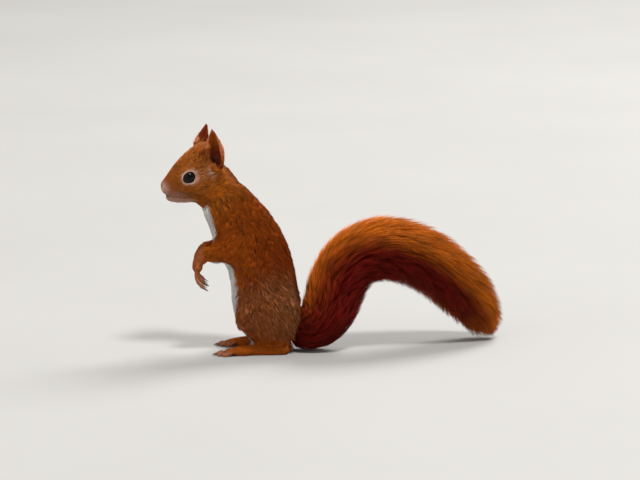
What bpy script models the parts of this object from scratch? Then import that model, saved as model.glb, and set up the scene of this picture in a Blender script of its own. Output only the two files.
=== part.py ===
"""Eurasian red squirrel, life size, sitting up on its haunches with the hands held before the chest.

The head looks along -X and its left side faces -Y. The soles and the tip of the tail stand on z = 0.
Sizes are millimetres in the tables below and metres in the scene. Every outline is the outside of the
coat. The body is modelled as overlapping masses, fused into one skin and parted by thin cuts.
"""

import math

import bmesh
import bpy
import numpy as np
from mathutils import Matrix, Vector

MM = 0.001
GAP = 0.3 * MM  # free space left between neighbouring parts
VOXEL = 0.55 * MM  # cell size when the body's masses are fused
BODY_TRIANGLES = 3100
DETAIL_COST = 2e-5  # how much finer the hands and feet stay than the trunk
FACE_DETAIL = 0.6  # and the face, as a share of that
SOFT_ROUNDS = 110  # of smoothing, where the masses of the trunk and head run into each other
EVEN_ROUNDS = 3  # of smoothing everywhere
CURVE_STEPS = 24  # between two points of a smooth line
THIN_RATIOS = (0.78, 0.84, 0.9)  # shares of a node's triangles to try to keep after it is cut
SIDES = {"left": -1, "right": 1}  # the sign of y

# --- Head: an axis from the nose up to the back of the skull, and sections across it ------------
NOSE = Vector((-109.0, 0.0, 127.5))
HEAD_PITCH = math.radians(20)  # the muzzle points this far below the horizontal
HEAD_TURN = math.radians(10)  # and is turned this far to the left
HEAD_PIVOT = Vector((-62.0, 0.0, 135.0))
# distance behind the nose tip, crown above the axis, widest level, jaw below the axis, half width
HEAD_SECTIONS = [
    (1.8, 5.2, 1.6, -3.2, 3.6),
    (3.4, 6.6, 0.0, -8.2, 5.8),
    (5.6, 7.8, -1.6, -11.4, 7.8),
    (8.5, 9.6, -2.6, -13.6, 9.8),
    (12.5, 12.6, -2.8, -15.4, 11.6),
    (17.0, 15.8, -2.6, -17.0, 13.4),
    (23.0, 19.0, -2.2, -18.8, 15.4),
    (30.0, 22.2, -2.6, -20.4, 17.3),
    (37.0, 24.8, -3.4, -21.8, 18.3),
    (43.0, 22.6, -4.4, -22.4, 18.2),
    (49.0, 12.0, -5.6, -22.0, 17.0),
    (53.5, 0.5, -8.0, -18.0, 12.5),
]
EYE_AT = (23.9, 4.0)  # along the head's axis, and above it
EYE_RADIUS = 5.5
EYE_OUT = 11.7  # of the ball's centre from the head's middle plane
CHEEK = ((33.0, -8.0, 8.6), (13.0, 9.6, 11.0))
LIPS = ((7.2, -6.4, 0.0), (5.5, 6.9, 5.0))
EAR_BASE = ((43.0, 15.6, 11.2), (7.8, 6.0, 7.0))
CROWN = ((42.6, 16.4, 0.0), (9.4, 14.2, 8.4))
NOSE_PAD = ((-4.0, -0.6), (1.9, 9.0), 3.6)  # from and to, behind and above, and its half width

# --- Ears: a leaf with a scooped front, on an upright axis --------------------------------------
# height, x of the middle, distance from the middle plane, half width, half thickness
EAR_SECTIONS = [
    (145.0, -68.6, 13.8, 4.0, 4.0),
    (149.5, -69.0, 14.3, 7.3, 4.8),
    (154.5, -69.5, 14.8, 8.3, 4.6),
    (160.0, -69.9, 15.3, 7.8, 4.0),
    (165.0, -70.2, 15.8, 6.2, 3.3),
    (169.5, -70.4, 16.2, 4.3, 2.5),
    (173.5, -70.4, 16.6, 2.4, 1.7),
    (175.8, -70.4, 16.9, 1.2, 1.0),
]
EAR_WALL = 1.3
EAR_TIP_RUN = 9.0  # the top of the ear, over which it leans back to its tip
# how far forward of straight out the opening faces, and how far back the ear's base is set
EAR_POSES = {"left": (math.radians(42), 1.8), "right": (math.radians(28), -3.4)}

# --- Trunk and neck: sections from the seat up to the back of the head --------------------------
# x and z of the core line, then its radii to the back, to the belly and to the side
TRUNK_SECTIONS = [
    (-17.0, 5.0, 13.0, 14.0, 14.5),
    (-20.0, 14.0, 19.5, 22.0, 21.5),
    (-24.0, 29.0, 24.6, 29.0, 25.5),
    (-27.0, 45.0, 26.8, 29.6, 25.8),
    (-29.0, 60.0, 28.2, 26.4, 24.8),
    (-34.0, 74.0, 29.4, 25.4, 23.6),
    (-41.0, 87.5, 29.8, 25.6, 22.6),
    (-49.0, 100.0, 28.4, 23.6, 21.0),
    (-56.0, 111.5, 25.4, 20.6, 19.4),
    (-62.0, 122.0, 21.6, 18.4, 17.8),
    (-68.0, 132.0, 15.0, 18.0, 16.0),
]
HAUNCH = ((-22.0, 17.0, 31.0), (25.0, 13.0, 25.0))  # centre and radii of the thigh's muscle

# --- Limbs: points (x, distance from the middle plane, z, radius) -------------------------------
UPPER_ARM = [(-50.0, 12.5, 99.0, 11.5), (-49.0, 16.5, 88.0, 11.0), (-51.0, 19.0, 79.5, 9.6)]
FOREARM = [(-50.0, 19.0, 79.5, 9.4), (-63.0, 16.8, 79.8, 8.4), (-75.0, 13.0, 78.2, 5.2)]
HAND = [(-75.0, 13.0, 78.2, 5.0), (-78.6, 12.2, 73.0, 4.6), (-80.0, 11.4, 68.0, 3.9)]
PALM = ((-79.2, 11.6, 68.6), (3.6, 5.6, 5.0))  # centre and radii
THIGH = [(-16.0, 14.5, 36.0, 20.0), (-29.0, 18.5, 34.5, 17.5), (-40.5, 22.0, 31.0, 13.0)]
SHANK = [(-40.5, 22.5, 28.0, 11.0), (-29.0, 20.5, 17.0, 8.6), (-17.5, 18.0, 8.0, 5.8)]
FOOT = [(-12.5, 17.5, 4.3, 4.9), (-26.0, 18.5, 3.9, 4.4), (-40.0, 19.5, 3.8, 4.4), (-48.0, 20.5, 3.4, 3.6)]
SOLE = ((-44.0, 20.2, 3.2), (9.0, 6.6, 4.0))  # centre and radii

# The finest parts: the muzzle ahead of FACE_BACK and above FACE_FOOT, the hands and the feet
FACE_BACK, FACE_FOOT = -92.0, 108.0
HANDS_BACK, HANDS_TOP = -66.0, 84.0
FEET_TOP = 9.0

# Digits: where they root across the paw, how long they are, and how they fan out
FINGER_ROOTS = [-4.2, -1.4, 1.4, 4.2]
FINGER_LENGTHS = [12.0, 15.0, 15.0, 12.0]
FINGER_RADIUS = 1.2
# along a finger: x (and its share of the length), share of the roots' spread and of the length,
# and share of the radius
FINGER_BEND = ((0.4, 0.0, 0.8, 0.0, 1.2), (-0.6, 0.0, 1.0, 0.45, 1.0), (0.0, 0.04, 1.0, 0.8, 0.95),
               (0.0, 0.22, 1.0, 1.0, 0.85))
THUMB = ((2.5, -3.0, -1.0, 1.4), (2.2, -3.6, -4.2, 1.1))  # from the back of the hand
TOE_ROOTS = [-5.0, -2.6, 0.0, 2.6, 5.0]
TOE_LENGTHS = [7.5, 12.5, 14.0, 13.0, 9.0]
TOE_RADIUS = 1.5
# along a toe: x and its share of the length, share of the roots' spread, height, share of the radius
TOE_BEND = ((1.5, 0.0, 0.85, -1.0, 1.1), (0.0, 0.45, 1.15, 0.2, 1.0), (0.0, 0.85, 1.4, -2.1, 0.92),
            (0.0, 1.0, 1.45, -2.2, 0.85))
CLAW_LENGTH = 4.6
CLAW_RADIUS = 0.85
CLAW_DROP = 1.0
CLAW_CURLS = {"finger": Vector((0.9, 0, 0.3)), "toe": Vector((0, 0, -1))}  # the way they curl

# --- Tail: points (x, y, z) of its middle line, with its radii across and along the curve -------
TAIL_LINE = [
    (-9.0, 0.0, 19.0, 13.0, 13.0),
    (6.0, 0.0, 16.4, 18.5, 18.0),
    (18.5, 0.5, 26.0, 22.0, 21.5),
    (26.0, 2.0, 41.0, 25.0, 24.0),
    (31.5, 4.0, 58.0, 26.5, 24.5),
    (42.5, 6.5, 72.5, 27.5, 25.5),
    (59.0, 10.5, 79.0, 28.0, 26.5),
    (79.0, 16.5, 77.0, 28.0, 26.8),
    (98.0, 24.0, 68.5, 27.5, 26.5),
    (115.0, 32.0, 55.5, 26.5, 25.8),
    (129.0, 40.0, 41.0, 25.0, 24.5),
    (140.0, 46.5, 26.5, 22.0, 21.5),
    (147.0, 51.0, 14.3, 17.0, 17.0),
]
TAIL_CUTS = [0.27, 0.52, 0.77]  # shares of its length where it is parted

# --- Cuts: planes (point, direction kept), and boxes (low and high corner, y from the middle) ----
HEAD_CUT = ((-62.0, 0.0, 125.5), (-0.58, 0.0, 0.81))
NECK_CUT = ((-56.0, 0.0, 112.0), (-0.6, 0.0, 0.8))
HEAD_CELL = (120, 120, 90)  # sizes of the boxes that fill the kept side of each plane
NECK_CELL = (90, 90, 60)
SHANK_CELL = (110, 38, 40)
TAIL_CELL = (90, 90, 160)
GROUND_CELL = (500, 300, 60)
LIMB_BOXES = (
    ("hand_", (-100.0, 1.5, 40.0), (-73.5, 40.0, 87.0)),
    ("forearm_", (-90.0, 6.5, 60.0), (-63.5, 40.0, 88.2)),
    ("upper_arm_", (-72.0, 14.5, 66.0), (-34.0, 45.0, 108.0)),
    ("foot_", (-90.0, 9.5, -5.0), (-7.0, 45.0, 9.2)),
)
SHANK_CUT = ((-32.0, 34.0, 19.0), (-0.3, 0.0, -0.95))
THIGH_BOX = ((-75.0, 15.0, 5.0), (6.0, 50.0, 58.0))


# ------------------------------------------------------------------------------------------------
# Tools
# ------------------------------------------------------------------------------------------------
def clear_scene():
    for old in list(bpy.data.objects):
        bpy.data.objects.remove(old, do_unlink=True)


def make_collections():
    shown = bpy.data.collections.new("red_squirrel")
    helpers = bpy.data.collections.new("cutters")
    for collection in (shown, helpers):
        bpy.context.scene.collection.children.link(collection)
    return shown, helpers


def add_object(name, mesh, collection):
    made = bpy.data.objects.new(name, mesh)
    collection.objects.link(made)
    return made


def remove_object(old):
    bpy.data.objects.remove(old, do_unlink=True)


def evaluated_mesh(source):
    """The object's mesh in world space, with its modifiers applied."""
    bpy.context.view_layer.update()
    graph = bpy.context.evaluated_depsgraph_get()
    evaluated = source.evaluated_get(graph)
    mesh = bpy.data.meshes.new_from_object(evaluated)
    mesh.transform(source.matrix_world)
    return mesh


def bake_modifiers(target):
    """Replaces the object's mesh by its evaluated one."""
    mesh = evaluated_mesh(target)
    target.modifiers.clear()
    target.data = mesh
    target.matrix_world = Matrix.Identity(4)


def resample(rows, count):
    """Rows of numbers read along a smooth Catmull-Rom curve, evenly spaced by the first three."""
    rows = np.array(rows, float)
    padded = np.vstack([2 * rows[0] - rows[1], rows, 2 * rows[-1] - rows[-2]])
    fine = []
    for i in range(len(rows) - 1):
        p0, p1, p2, p3 = padded[i : i + 4]
        for t in np.linspace(0, 1, CURVE_STEPS, endpoint=False):
            fine.append(
                0.5
                * (
                    2 * p1
                    + (p2 - p0) * t
                    + (2 * p0 - 5 * p1 + 4 * p2 - p3) * t**2
                    + (3 * p1 - p0 - 3 * p2 + p3) * t**3
                )
            )
    fine = np.array(fine + [rows[-1]])
    steps = np.linalg.norm(np.diff(fine[:, :3], axis=0), axis=1)
    along = np.concatenate([[0], np.cumsum(steps)])
    wanted = np.linspace(0, along[-1], count)
    return np.stack([np.interp(wanted, along, column) for column in fine.T], axis=1)


def ring(centre, across, outward, side, up, down, sides):
    """One egg-shaped section: its radii are side, and up or down along outward."""
    points = []
    for k in range(sides):
        angle = 2 * math.pi * k / sides
        rise = math.sin(angle)
        reach = up if rise > 0 else down
        points.append(centre + across * (side * math.cos(angle)) + outward * (reach * rise))
    return points


def loft(name, sections, collection, sides=32, bulge=(0.5, 0.5), domes=(30, 58)):
    """A closed skin over sections of (centre, along, across, outward, side, up, down), ends domed.

    bulge is how far each end stands out, as a share of its radius; domes are angles in degrees.
    """
    rings = [ring(c, a, o, s, u, d, sides) for c, _, a, o, s, u, d in sections]
    caps = []
    for end, sign in ((0, -1), (-1, 1)):
        c, along, a, o, s, u, d = sections[end]
        depth = bulge[end] * min(s, (u + d) / 2)
        dome = []
        for angle in [math.radians(degrees) for degrees in domes]:
            shrink = math.cos(angle)
            middle = c + along * (sign * depth * math.sin(angle))
            dome.append(ring(middle, a, o, s * shrink, u * shrink, d * shrink, sides))
        caps.append(dome)
    rings = caps[0][::-1] + rings + caps[1]
    mesh = bpy.data.meshes.new(name)
    shell = bmesh.new()
    rows = [[shell.verts.new(p * MM) for p in points] for points in rings]
    for low, high in zip(rows, rows[1:]):
        for k in range(sides):
            n = (k + 1) % sides
            shell.faces.new((low[k], low[n], high[n], high[k]))
    for end, sign in ((0, -1), (-1, 1)):
        c, along, _, _, s, u, d = sections[end]
        depth = bulge[end] * min(s, (u + d) / 2)
        tip = shell.verts.new((c + along * (sign * depth)) * MM)
        rim = rows[end]
        for k in range(sides):
            shell.faces.new((rim[k], rim[(k + 1) % sides], tip))
    bmesh.ops.recalc_face_normals(shell, faces=shell.faces)
    shell.to_mesh(mesh)
    shell.free()
    return add_object(name, mesh, collection)


def sections_along(rows, count):
    """Sections square to a smooth line through rows of (x, y, z, side, up, down)."""
    line = resample(rows, count)
    points = [Vector(row[:3]) for row in line]
    sections = []
    for i, row in enumerate(line):
        along = (points[min(i + 1, count - 1)] - points[max(i - 1, 0)]).normalized()
        across = Vector((0, 1, 0)) - along * along.y
        across.normalize()
        outward = across.cross(along).normalized()
        sections.append((points[i], along, across, outward, *row[3:6]))
    return sections


def rounded_tube(name, points, collection, resolution=4):
    """A curve with a round section whose radius follows the points, and domed ends."""
    line = resample(points, max(6, 5 * len(points)))
    start, end = line[0], line[-1]
    caps = []
    for tip, inner in ((start, line[1]), (end, line[-2])):
        outward = (tip[:3] - inner[:3]) / np.linalg.norm(tip[:3] - inner[:3])
        radius = tip[3]
        dome = []
        for degrees in (35, 62, 82):
            angle = math.radians(degrees)
            centre = tip[:3] + outward * radius * math.sin(angle)
            dome.append([*centre, radius * math.cos(angle)])
        caps.append(dome)
    line = np.vstack([caps[0][::-1], line, caps[1]])
    curve = bpy.data.curves.new(name, "CURVE")
    curve.dimensions = "3D"
    curve.bevel_depth = MM
    curve.bevel_resolution = resolution
    curve.use_fill_caps = True
    spline = curve.splines.new("POLY")
    spline.points.add(len(line) - 1)
    for point, (x, y, z, radius) in zip(spline.points, line):
        point.co = (x * MM, y * MM, z * MM, 1)
        point.radius = radius
    guide = add_object(name + "_curve", curve, collection)
    mesh = evaluated_mesh(guide)
    remove_object(guide)
    weld = bmesh.new()
    weld.from_mesh(mesh)
    bmesh.ops.remove_doubles(weld, verts=weld.verts, dist=0.01 * MM)
    bmesh.ops.recalc_face_normals(weld, faces=weld.faces)
    weld.to_mesh(mesh)
    weld.free()
    return add_object(name, mesh, collection)


def ellipsoid(name, centre, radii, collection, segments=32, rings=20):
    bpy.ops.mesh.primitive_uv_sphere_add(segments=segments, ring_count=rings, radius=1)
    ball = bpy.context.object
    ball.name = name
    ball.data.transform(Matrix.Diagonal((*[r * MM for r in radii], 1)))
    ball.data.transform(Matrix.Translation(Vector(centre) * MM))
    for old in list(ball.users_collection):
        old.objects.unlink(ball)
    collection.objects.link(ball)
    return ball


def fuse(name, pieces, collection, voxel):
    """One closed skin round overlapping pieces, which are used up."""
    merged = bmesh.new()
    for piece in pieces:
        merged.from_mesh(piece.data)
        remove_object(piece)
    mesh = bpy.data.meshes.new(name)
    merged.to_mesh(mesh)
    merged.free()
    whole = add_object(name, mesh, collection)
    remesh = whole.modifiers.new("fuse", "REMESH")
    remesh.mode = "VOXEL"
    remesh.voxel_size = voxel
    bake_modifiers(whole)
    return whole


def boolean(target, other, operation):
    cut = target.modifiers.new("cut", "BOOLEAN")
    cut.operation = operation
    cut.solver = "EXACT"
    cut.object = other
    bake_modifiers(target)


def grown(source, collection, by=GAP):
    """A copy pushed outwards along its normals, for cuts that leave a gap."""
    copy = add_object(source.name + "_grown", source.data.copy(), collection)
    copy.matrix_world = source.matrix_world.copy()
    push = copy.modifiers.new("grow", "DISPLACE")
    push.mid_level = 0.0
    push.strength = by
    bake_modifiers(copy)
    return copy


def keep_largest(target):
    """Drops the crumbs that a cut can leave beside the main body."""
    shell = bmesh.new()
    shell.from_mesh(target.data)
    shell.verts.ensure_lookup_table()
    seen, islands = set(), []
    for start in shell.verts:
        if start.index in seen:
            continue
        island, todo = [], [start]
        seen.add(start.index)
        while todo:
            vertex = todo.pop()
            island.append(vertex)
            for edge in vertex.link_edges:
                other = edge.other_vert(vertex)
                if other.index not in seen:
                    seen.add(other.index)
                    todo.append(other)
        islands.append(island)
    islands.sort(key=len)
    for island in islands[:-1]:
        bmesh.ops.delete(shell, geom=island, context="VERTS")
    shell.to_mesh(target.data)
    shell.free()


def carve(whole, cell, name, collection, helpers):
    """Moves what lies inside the cell out of the whole, into a node of its own."""
    piece = add_object(name, whole.data.copy(), collection)
    boolean(piece, cell, "INTERSECT")
    keep_largest(piece)
    wider = grown(cell, helpers)
    boolean(whole, wider, "DIFFERENCE")
    keep_largest(whole)
    remove_object(wider)
    remove_object(cell)
    return piece


def half_space(point, normal, size, collection):
    """A box that fills the side of a plane that its normal points to."""
    bpy.ops.mesh.primitive_cube_add(size=1)
    box = bpy.context.object
    box.name = "cell"
    ahead = Vector(normal).normalized()
    sideways = (Vector((0, 1, 0)) - ahead * ahead.y).normalized()
    turn = Matrix((sideways.cross(ahead), sideways, ahead)).transposed().to_4x4()
    box.data.transform(Matrix.Diagonal((*[side * MM for side in size], 1)))
    box.data.transform(Matrix.Translation((0, 0, size[2] * MM / 2)))
    box.data.transform(Matrix.Translation(Vector(point) * MM) @ turn)
    for old in list(box.users_collection):
        old.objects.unlink(box)
    collection.objects.link(box)
    return box


def flatten_underside(target, helpers):
    """Cuts off what lies below the ground at z = 0."""
    ground = half_space((0, 0, 0), (0, 0, -1), GROUND_CELL, helpers)
    boolean(target, ground, "DIFFERENCE")
    remove_object(ground)


def mirrored(points, sign):
    """Limb points with their distance from the middle plane made a y on one side."""
    return [(x, sign * out, z, *rest) for x, out, z, *rest in points]


# ------------------------------------------------------------------------------------------------
# Head frame
# ------------------------------------------------------------------------------------------------
HEAD_BACK = Vector((math.cos(HEAD_PITCH), 0, math.sin(HEAD_PITCH)))
HEAD_UP = Vector((-math.sin(HEAD_PITCH), 0, math.cos(HEAD_PITCH)))


def head_point(behind, above, aside=0.0):
    return NOSE + HEAD_BACK * behind + HEAD_UP * above + Vector((0, aside, 0))


def head_turn(scale=1.0):
    """The head's turn to the left about the neck's pivot, in scene units."""
    turn = Matrix.Rotation(HEAD_TURN, 4, "Z")
    pivot = HEAD_PIVOT * scale
    return Matrix.Translation(pivot) @ turn @ Matrix.Translation(-pivot)


# ------------------------------------------------------------------------------------------------
# Masses of the body
# ------------------------------------------------------------------------------------------------
def head_mass(helpers):
    sections = []
    for behind, crown, level, jaw, width in reversed(HEAD_SECTIONS):
        centre = head_point(behind, level)
        sections.append((centre, -HEAD_BACK, Vector((0, 1, 0)), HEAD_UP, width, crown - level, level - jaw))
    skull = loft("skull", sections, helpers, bulge=(0.5, 0.35))
    pieces = [skull]
    for sign in SIDES.values():
        for (behind, above, aside), radii in (CHEEK, EAR_BASE, CROWN, LIPS):
            pieces.append(ellipsoid("bulge", head_point(behind, above, sign * aside), radii, helpers))
    for piece in pieces:
        piece.data.transform(head_turn(MM))
    return pieces


def trunk_mass(helpers):
    rows = [(x, 0, z, side, back, belly) for x, z, back, belly, side in TRUNK_SECTIONS]
    return [loft("trunk_mass", sections_along(rows, 44), helpers, sides=40, bulge=(0.6, 0.4))]


def limb_mass(sign, helpers):
    lines = (UPPER_ARM, FOREARM, HAND, THIGH, SHANK, FOOT)
    tubes = [rounded_tube("limb", mirrored(line, sign), helpers) for line in lines]
    for centre, radii in (HAUNCH, PALM, SOLE):
        tubes.append(ellipsoid("pad", (centre[0], sign * centre[1], centre[2]), radii, helpers))
    return tubes


def finger_line(index, sign):
    """A finger hangs from the knuckles and curls back under the palm."""
    x, out, z, _ = HAND[-1]
    length = FINGER_LENGTHS[index]
    points = []
    for ahead, ahead_share, spread, drop, thick in FINGER_BEND:
        across = out + spread * FINGER_ROOTS[index]
        points.append((x + ahead + ahead_share * length, across, z - drop * length, thick * FINGER_RADIUS))
    return mirrored(points, sign)


def toe_line(index, sign):
    """A toe runs forward from the ball of the foot, arched, with its tip on the ground."""
    x, out, z, _ = FOOT[-1]
    length = TOE_LENGTHS[index]
    points = []
    for ahead, ahead_share, spread, rise, thick in TOE_BEND:
        across = out + spread * TOE_ROOTS[index]
        points.append((x + ahead - ahead_share * length, across, z + rise, thick * TOE_RADIUS))
    return mirrored(points, sign)


def build_claw(name, tip, before, curl, shown):
    """A claw grows out of a digit's end and curls over to a point."""
    radius_there = tip[3]
    tip, before = Vector(tip[:3]), Vector(before[:3])
    ahead = (tip - before).normalized()
    across = ahead.cross(Vector((0, 0, 1))).normalized()
    start = radius_there + 2 * GAP / MM
    sections = []
    for share in (0.0, 0.5, 1.0):
        drop = curl * (CLAW_DROP * share * share)
        radius = CLAW_RADIUS * (1 - 0.8 * share)
        centre = tip + ahead * (start + CLAW_LENGTH * share) + drop
        sections.append((centre, ahead, across, across.cross(ahead), radius * 0.8, radius, radius))
    return loft(name, sections, shown, sides=6, bulge=(0.05, 0.9), domes=())


def digit_masses(sign, helpers):
    lines = [finger_line(i, sign) for i in range(len(FINGER_ROOTS))]
    lines += [toe_line(i, sign) for i in range(len(TOE_ROOTS))]
    x, out, z, _ = HAND[1]
    thumb = [(x + back, out + aside, z + rise, radius) for back, aside, rise, radius in THUMB]
    lines.append(mirrored(thumb, sign))
    return [rounded_tube("digit", line, helpers, resolution=3) for line in lines]


def detail_weight(points):
    """Near 1 on the face, hands and feet, which keep their fine shape, and 0 on the trunk."""
    x, _, z = points.T / MM
    face = np.clip((FACE_BACK + 12 - x) / 12, 0, 1) * np.clip((z - FACE_FOOT) / 6, 0, 1)
    hands = np.clip((HANDS_BACK - x) / 6, 0, 1) * np.clip((HANDS_TOP - z) / 4, 0, 1)
    feet = np.clip((FEET_TOP - z) / 3, 0, 1)
    return np.maximum.reduce([FACE_DETAIL * face, hands, feet])


def weigh(target, name, weights):
    group = target.vertex_groups.new(name=name)
    for index, weight in enumerate(weights):
        if weight > 0.01:
            group.add([index], float(weight), "REPLACE")


def points_of(mesh):
    points = np.empty(len(mesh.vertices) * 3, np.float32)
    mesh.vertices.foreach_get("co", points)
    return points.reshape(-1, 3)


def build_body(shown, helpers):
    pieces = head_mass(helpers) + trunk_mass(helpers)
    for sign in SIDES.values():
        pieces += limb_mass(sign, helpers) + digit_masses(sign, helpers)
    body = fuse("trunk", pieces, shown, VOXEL)
    detail = detail_weight(points_of(body.data))
    weigh(body, "soft", (1 - detail) ** 2)
    smooth = body.modifiers.new("blend", "SMOOTH")
    smooth.factor = 0.5
    smooth.iterations = SOFT_ROUNDS
    smooth.vertex_group = "soft"
    bake_modifiers(body)
    smooth = body.modifiers.new("blend_all", "SMOOTH")
    smooth.factor = 0.5
    smooth.iterations = EVEN_ROUNDS
    bake_modifiers(body)
    detail = detail_weight(points_of(body.data))
    weigh(body, "coarse", 1 - 0.9 * detail)
    thin = body.modifiers.new("thin", "DECIMATE")
    triangles = sum(len(face.vertices) - 2 for face in body.data.polygons)
    thin.ratio = BODY_TRIANGLES / triangles
    thin.vertex_group = "coarse"
    thin.vertex_group_factor = DETAIL_COST
    bake_modifiers(body)
    return body


# ------------------------------------------------------------------------------------------------
# Eyes, ears, tail and claws
# ------------------------------------------------------------------------------------------------
def build_eye(side, sign, head, shown, helpers):
    """A round eyeball in a socket that is cut just wider."""
    centre = head_point(*EYE_AT, sign * EYE_OUT)
    eye = ellipsoid("eye_" + side, centre, [EYE_RADIUS] * 3, shown, segments=14, rings=9)
    eye.data.transform(head_turn(MM))
    socket = ellipsoid("socket", centre, [EYE_RADIUS + GAP / MM] * 3, helpers, segments=14, rings=9)
    socket.data.transform(head_turn(MM))
    boolean(head, socket, "DIFFERENCE")
    remove_object(socket)


def build_ear(side, sign, head, shown, helpers):
    """An upright leaf, scooped out in front, whose root is let into the head."""
    facing, set_back = EAR_POSES[side]
    out = Vector((-math.sin(facing), sign * math.cos(facing), 0))
    across = Vector((out.y, -out.x, 0))
    tip_height = EAR_SECTIONS[-1][0]
    leaf, scoop = [], []
    for z, x, aside, width, thickness in EAR_SECTIONS:
        lean = set_back * min(1.0, (tip_height - z) / EAR_TIP_RUN)
        centre = Vector((x + lean, sign * aside, z))
        up = Vector((0, 0, 1))
        leaf.append((centre, up, across, out, width, thickness, thickness))
        inner = max(width - EAR_WALL, 0.4)
        depth = max(2 * thickness - EAR_WALL, 0.5)
        scoop.append((centre + out * thickness, up, across, out, inner, depth * 0.6, depth))
    ear = loft("ear_" + side, leaf, shown, sides=14, bulge=(0.2, 0.8))
    hollow = loft("hollow", scoop[1:-1], helpers, sides=12, bulge=(0.1, 0.5))
    for piece in (ear, hollow):
        piece.data.transform(head_turn(MM))
    boolean(ear, hollow, "DIFFERENCE")
    remove_object(hollow)
    root = loft("root", leaf, helpers, sides=14, bulge=(0.2, 0.8))
    root.data.transform(head_turn(MM))
    wider = grown(root, helpers)
    boolean(head, wider, "DIFFERENCE")
    keep_largest(head)
    remove_object(wider)
    remove_object(root)


def build_tail(body, shown, helpers):
    """The brush, let into the rump, standing flat on the ground at its root and its tip."""
    rows = [(x, y, z, aside, thick, thick) for x, y, z, aside, thick in TAIL_LINE]
    sections = sections_along(rows, 21)
    tail = loft("tail_root", sections, shown, sides=20, bulge=(0.3, 0.85))
    flatten_underside(tail, helpers)
    wider = grown(tail, helpers)
    boolean(body, wider, "DIFFERENCE")
    keep_largest(body)
    remove_object(wider)
    names = ["tail_tip", "tail_arch", "tail_rise"]
    for name, share in zip(names, reversed(TAIL_CUTS)):
        centre, along = sections[round(share * (len(sections) - 1))][:2]
        cell = half_space(centre, along, TAIL_CELL, helpers)
        carve(tail, cell, name, shown, helpers)
    return tail


def build_claws(side, sign, shown):
    """One claw to a digit, just clear of the digit's end."""
    for kind, line, count in (("finger", finger_line, len(FINGER_ROOTS)), ("toe", toe_line, len(TOE_ROOTS))):
        for index in range(count):
            tip, before = resample(line(index, sign), 12)[[-1, -2]]
            name = kind + "_claw_" + side + "_" + str(index + 1)
            build_claw(name, tip, before, CLAW_CURLS[kind], shown)


# ------------------------------------------------------------------------------------------------
# Parting the body
# ------------------------------------------------------------------------------------------------
def box_between(low, high, sign, helpers):
    """An upright box; y is a distance from the middle plane on one side."""
    size = [high[i] - low[i] for i in range(3)]
    middle = Vector(((low[0] + high[0]) / 2, sign * (low[1] + high[1]) / 2, low[2]))
    return half_space(middle, (0, 0, 1), size, helpers)


def part_body(body, shown, helpers):
    nodes = {}
    for name, (point, normal), size in (("head", HEAD_CUT, HEAD_CELL), ("neck", NECK_CUT, NECK_CELL)):
        cell = half_space(point, normal, size, helpers)
        nodes[name] = carve(body, cell, name, shown, helpers)
    for side, sign in SIDES.items():
        for start, low, high in LIMB_BOXES:
            cell = box_between(low, high, sign, helpers)
            nodes[start + side] = carve(body, cell, start + side, shown, helpers)
        (x, out, z), normal = SHANK_CUT
        shank = half_space((x, sign * out, z), normal, SHANK_CELL, helpers)
        nodes["shank_" + side] = carve(body, shank, "shank_" + side, shown, helpers)
        thigh = box_between(*THIGH_BOX, sign, helpers)
        nodes["thigh_" + side] = carve(body, thigh, "thigh_" + side, shown, helpers)
    return nodes


def build_nose(head, shown, helpers):
    """The bare pad at the tip of the muzzle."""
    (near, low), (far, high), aside = NOSE_PAD
    bpy.ops.mesh.primitive_cube_add(size=1)
    cell = bpy.context.object
    frame = Matrix((HEAD_BACK, Vector((0, 1, 0)), HEAD_UP)).transposed().to_4x4()
    size = ((far - near) * MM, 2 * aside * MM, (high - low) * MM)
    cell.data.transform(Matrix.Diagonal((*size, 1)))
    centre = head_point((near + far) / 2, (low + high) / 2) * MM
    cell.data.transform(head_turn(MM) @ Matrix.Translation(centre) @ frame)
    return carve(head, cell, "nose", shown, helpers)


# ------------------------------------------------------------------------------------------------
# Finish
# ------------------------------------------------------------------------------------------------
MATERIALS = {
    # name: colour, roughness
    "coat_red": ((0.26, 0.065, 0.015), 0.75),
    "coat_tail": ((0.33, 0.07, 0.012), 0.78),
    "ear_skin": ((0.16, 0.035, 0.015), 0.7),
    "paw_skin": ((0.42, 0.19, 0.10), 0.6),
    "nose_skin": ((0.42, 0.22, 0.16), 0.45),
    "eye_gloss": ((0.012, 0.008, 0.006), 0.05),
    "claw_horn": ((0.05, 0.035, 0.025), 0.35),
}
MATERIAL_OF = (
    ("tail", "coat_tail"),
    ("ear", "ear_skin"),
    ("hand", "paw_skin"),
    ("foot", "paw_skin"),
    ("nose", "nose_skin"),
    ("eye", "eye_gloss"),
    ("finger_claw", "claw_horn"),
    ("toe_claw", "claw_horn"),
)


def make_material(name, colour, roughness):
    material = bpy.data.materials.new(name)
    material.use_nodes = True
    shader = material.node_tree.nodes["Principled BSDF"]
    shader.inputs["Base Color"].default_value = (*colour, 1)
    shader.inputs["Roughness"].default_value = roughness
    material.diffuse_color = (*colour, 1)
    return material


def is_closed(mesh):
    shell = bmesh.new()
    shell.from_mesh(mesh)
    closed = all(edge.is_manifold for edge in shell.edges)
    shell.free()
    return closed


def thin_cut_faces(node):
    """Joins the slivers that the cuts leave along their edges, as far as the node stays closed."""
    for ratio in THIN_RATIOS:
        before = node.data.copy()
        thin = node.modifiers.new("thin", "DECIMATE")
        thin.ratio = ratio
        bake_modifiers(node)
        if is_closed(node.data):
            return
        node.data = before


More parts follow.
